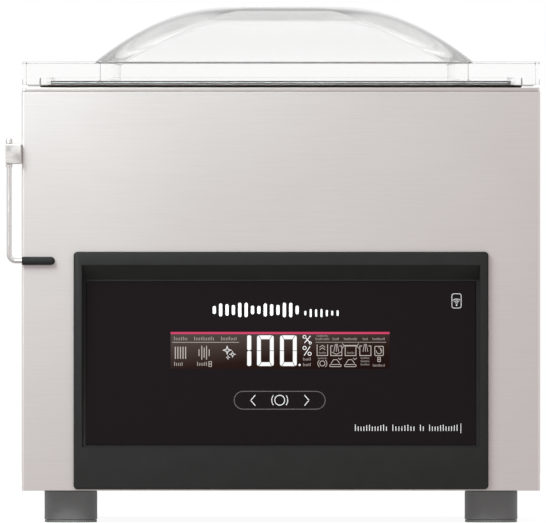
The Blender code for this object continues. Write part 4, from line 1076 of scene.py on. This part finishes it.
def make_swing_arm():
    low, high = span("arm_bracket")
    arm_x, arm_y, radius, bend = mm(-217.6, -244.5, 2.0, 5.5)
    bracket = piece("arm_block", block(low, high, 0.8 * MM, 4), ARM_BLOCK_STEEL,
                    ("arm_bracket",))
    carve(bracket, [rod(radius + GAP, *mm(-20, 20), (arm_x, arm_y, 295 * MM))])

    arm_low, arm_high = span("swing_arm")
    bottom = arm_low.z + radius
    route = [(arm_x, arm_high.z - 0.5 * MM), (arm_x, bottom + bend)]
    route += arc((arm_x + bend, bottom + bend), bend, 180.0, 270.0, 16)[1:]
    route.append((arm_high.x, bottom))
    collar = [(r, low.z - GAP - drop) for r, drop in (
        mm(1.8, 2.2), mm(2.5, 2.2), mm(2.7, 2.0), mm(2.7, 0.2), mm(2.5, 0.0), mm(1.8, 0.0))]
    head = [(r, high.z + GAP + rise) for r, rise in (mm(0.0, 0.0), mm(2.5, 0.0), mm(2.7, 0.2))]
    head += [(r, arm_high.z - drop) for r, drop in (
        mm(2.7, 1.2), mm(2.4, 0.4), mm(1.7, 0.0), mm(0.0, 0.0))]
    arm = piece("swing_arm_bar", tube([Vector((x, arm_y, z)) for x, z in route], radius), ARM_STEEL,
                ("swing_arm",), "swing_arm")
    carve(arm, [turned(profile, (arm_x, arm_y, 0.0), sides=32, closed=closed)
                for profile, closed in ((collar, True), (head, False))], "UNION")

    sleeve_low, sleeve_high = span("arm_sleeve")
    grip, length = (sleeve_high.z - sleeve_low.z) / 2, sleeve_high.x - sleeve_low.x
    bore = radius + GAP
    profile = [(bore, 21 * MM), (bore, 0.0), (grip - 0.5 * MM, 0.0), (grip - 0.1 * MM, 0.2 * MM),
               (grip, 0.6 * MM)]
    profile += [(r, along) for along, r in arc((length - grip, 0.0), grip, 90.0, 0.0, 12)[:-1]]
    profile.append((0.0, length))
    piece("arm_grip", turned(profile, (sleeve_low.x, arm_y, bottom), "X", 40), BLACK_RUBBER,
          ("arm_sleeve",), "swing_arm")


# ---- back

def make_rear_panel():
    """The service panel: sheet with a softened rim, air slots and the fittings' openings."""
    low, high = span("rear_panel")

    def panel_ring(y, inset):
        outline = rounded_outline(inset - high.x, high.x - inset, low.z + inset, high.z - inset,
                                  4 * MM - inset, 6)
        return [(x, y, z) for x, z in outline]

    panel = piece("rear_sheet", loft([panel_ring(low.y, 0.0), panel_ring(high.y - 0.4 * MM, 0.0),
                                      panel_ring(high.y - 0.1 * MM, 0.1 * MM),
                                      panel_ring(high.y, 0.4 * MM)]),
                  STEEL, ("rear_panel",))
    front, back = low.y - 10 * MM, high.y + 10 * MM

    def through(x, z, half_x, half_z=1.75, radius=1.7):
        outline = rounded_outline(*mm(x - half_x, x + half_x, z - half_z, z + half_z, radius), 6)
        return loft([[(px, y, pz) for px, pz in outline] for y in (front, back)])

    cuts = []
    for row in range(8):
        rise = (row - 3.5) * 9.5
        cuts.append(through(140.0, 110.0 + rise, math.sqrt(38.0 ** 2 - rise ** 2)))
    for column in (-90.0, 0.0, 90.0):
        cuts += [through(column, 250.0 + 12.0 * row, 32.0) for row in range(5)]
    cuts += [through(-165.0, 75.0, 14.0, 10.5, 1.0), through(-118.0, 75.0, 11.0, 14.5, 1.0),
             rod(5.3 * MM, front, back, mm(-165, 0, 130), "Y")]
    carve(panel, cuts)


def make_screw(name, place, turn):
    """A pan-head screw on the back, with a cross recess."""
    radius = 2.6 * MM
    tall = 0.66 * radius
    profile = [(0.0, 0.0), (radius, 0.0)]
    profile += [(radius * math.cos(a), tall * (0.25 + 0.75 * math.sin(a)))
                for a in map(math.radians, (0, 20, 40, 60, 76))]
    profile.append((0.0, tall))
    head = piece(name, turned(profile, place, "Y", 32), ZINC)
    bars = []
    for angle in (turn, turn + 90.0):
        bar = block((-0.55 * radius, -0.12 * radius, 0.4 * tall),
                    (0.55 * radius, 0.12 * radius, 2 * tall))
        matrix = (Matrix.Translation(Vector(place)) @ Matrix.Rotation(-QUARTER, 4, "X")
                  @ Matrix.Rotation(math.radians(angle), 4, "Z"))
        bmesh.ops.transform(bar, matrix=matrix, verts=bar.verts)
        bars.append(bar)
    carve(head, bars)


def make_rear_screws():
    face = span("rear_panel")[1].y
    places = [(x, z) for x in (-195.0, 195.0) for z in (37.0, 183.0, 328.5)]
    places += [(0.0, 37.0), (0.0, 328.5)]
    places += [(140.0 + x, 110.0 + z) for x in (-35.75, 35.75) for z in (-35.75, 35.75)]
    for i, (x, z) in enumerate(places):
        make_screw(f"rear_screw_{i + 1}", (x * MM, face, z * MM), 37.0 * i)


# ---- studio

def make_floor():
    bm = bmesh.new()
    bmesh.ops.create_grid(bm, x_segments=1, y_segments=1, size=4.0)
    floor = solid("floor", bm)
    floor.data.materials.append(material("floor_white", (0.30, 0.30, 0.30), 0.0, 0.9,
                                         Specular_IOR_Level=0.0, Emission_Color=opaque(WHITE),
                                         Emission_Strength=0.85))
    floor.visible_glossy = False


def make_world():
    """White where it's seen; its light is pinkish in front, dim straight ahead, bright behind."""
    world = bpy.data.worlds.new("studio")
    world.use_nodes = True
    bpy.context.scene.world = world
    tree = world.node_tree
    seen = tree.nodes["Background"]
    seen.inputs["Color"].default_value = opaque(WHITE)
    toward = add(tree, "ShaderNodeTexCoord", {}).outputs["Generated"]
    split = add(tree, "ShaderNodeSeparateXYZ", {"Vector": toward})

    def eased(axis, start, end, value_start, value_end):
        return add(tree, "ShaderNodeMapRange", {
            "Value": split.outputs[axis], "From Min": start, "From Max": end,
            "To Min": value_start, "To Max": value_end}, interpolation_type="SMOOTHSTEP")

    def product(first, second):
        return add(tree, "ShaderNodeMath", {0: first, 1: second}, operation="MULTIPLY")

    greys = ((0.0, 0.55), (0.42, 0.75), (0.50, 0.95), (0.72, 0.80), (1.0, 0.60))
    sky = banded(tree, eased("Z", -1.0, 1.0, 0.0, 1.0), [(at, (grey,) * 3) for at, grey in greys])
    dim_ahead = eased("Y", -0.985, -0.90, 0.4, 1.0)
    dim_beside = eased("Y", -0.7, 0.1, 1.34, 0.80)
    bright_behind = eased("Y", 0.2, 0.8, 1.0, 1.5)
    tint = add(tree, "ShaderNodeMix", {"A": (1.0, 0.91, 0.905, 1.0), "B": opaque(WHITE),
                                       "Factor": eased("Y", -0.4, 0.3, 0.0, 1.0)}, data_type="RGBA")
    lit = add(tree, "ShaderNodeBackground", {
        "Strength": product(product(product(dim_ahead, dim_beside), bright_behind), sky),
        "Color": tint.outputs["Result"]})
    # Light that comes through clear plastic unbent is white, and light bent upwards is grey
    through = add(tree, "ShaderNodeBackground", {
        "Strength": eased("Z", 0.13, 0.38, 1.0, 0.30), "Color": opaque(WHITE)})
    path = add(tree, "ShaderNodeLightPath", {}).outputs
    bent = add(tree, "ShaderNodeMixShader", {
        "Fac": path["Is Transmission Ray"], 1: lit, 2: through})
    direct = add(tree, "ShaderNodeMixShader", {"Fac": path["Is Camera Ray"], 1: bent, 2: seen})
    tree.links.new(direct.outputs["Shader"], tree.nodes["World Output"].inputs["Surface"])


def make_softbox(name, place, target, size, power, colour=WHITE):
    """A square area light at a place, turned to a target."""
    light = bpy.data.lights.new(name, "AREA")
    light.size = size
    light.energy = power
    light.color = colour
    made = bpy.data.objects.new(name, light)
    made.location = Vector(place) + MACHINE
    made.rotation_euler = (Vector(target) - Vector(place)).to_track_quat("-Z", "Y").to_euler()
    bpy.context.scene.collection.objects.link(made)


def make_camera():
    """A very long lens in front, so that the view is nearly square on, with the frame filled."""
    frame_width, eye = 0.4368, 0.2092
    data = bpy.data.cameras.new("camera")
    data.lens = 1500.0
    data.sensor_width = 36.0
    data.clip_start, data.clip_end = 1.0, 100.0
    camera = bpy.data.objects.new("camera", data)
    camera.location = (0.0, cad_low.y - frame_width * data.lens / data.sensor_width, eye)
    camera.rotation_euler = (QUARTER, 0.0, 0.0)
    bpy.context.scene.collection.objects.link(camera)
    bpy.context.scene.camera = camera


make_casing()
make_chamber()
make_lid()
make_lid_seal()
make_bezel()
make_touch_panel()
make_display()
make_printing()
make_feet()
make_swing_arm()
make_rear_panel()
make_rear_screws()
dress_frame()
make_floor()
make_world()
make_softbox("key", (-0.55, -1.0, 0.9), (0.0, -0.24, 0.2), 0.6, 21.5, (0.88, 1.0, 0.99))
make_softbox("top", (0.0, 0.2, 1.6), (0.0, 0.0, 0.3), 1.2, 3.5)
make_camera()
bpy.context.scene.view_settings.view_transform = "Standard"
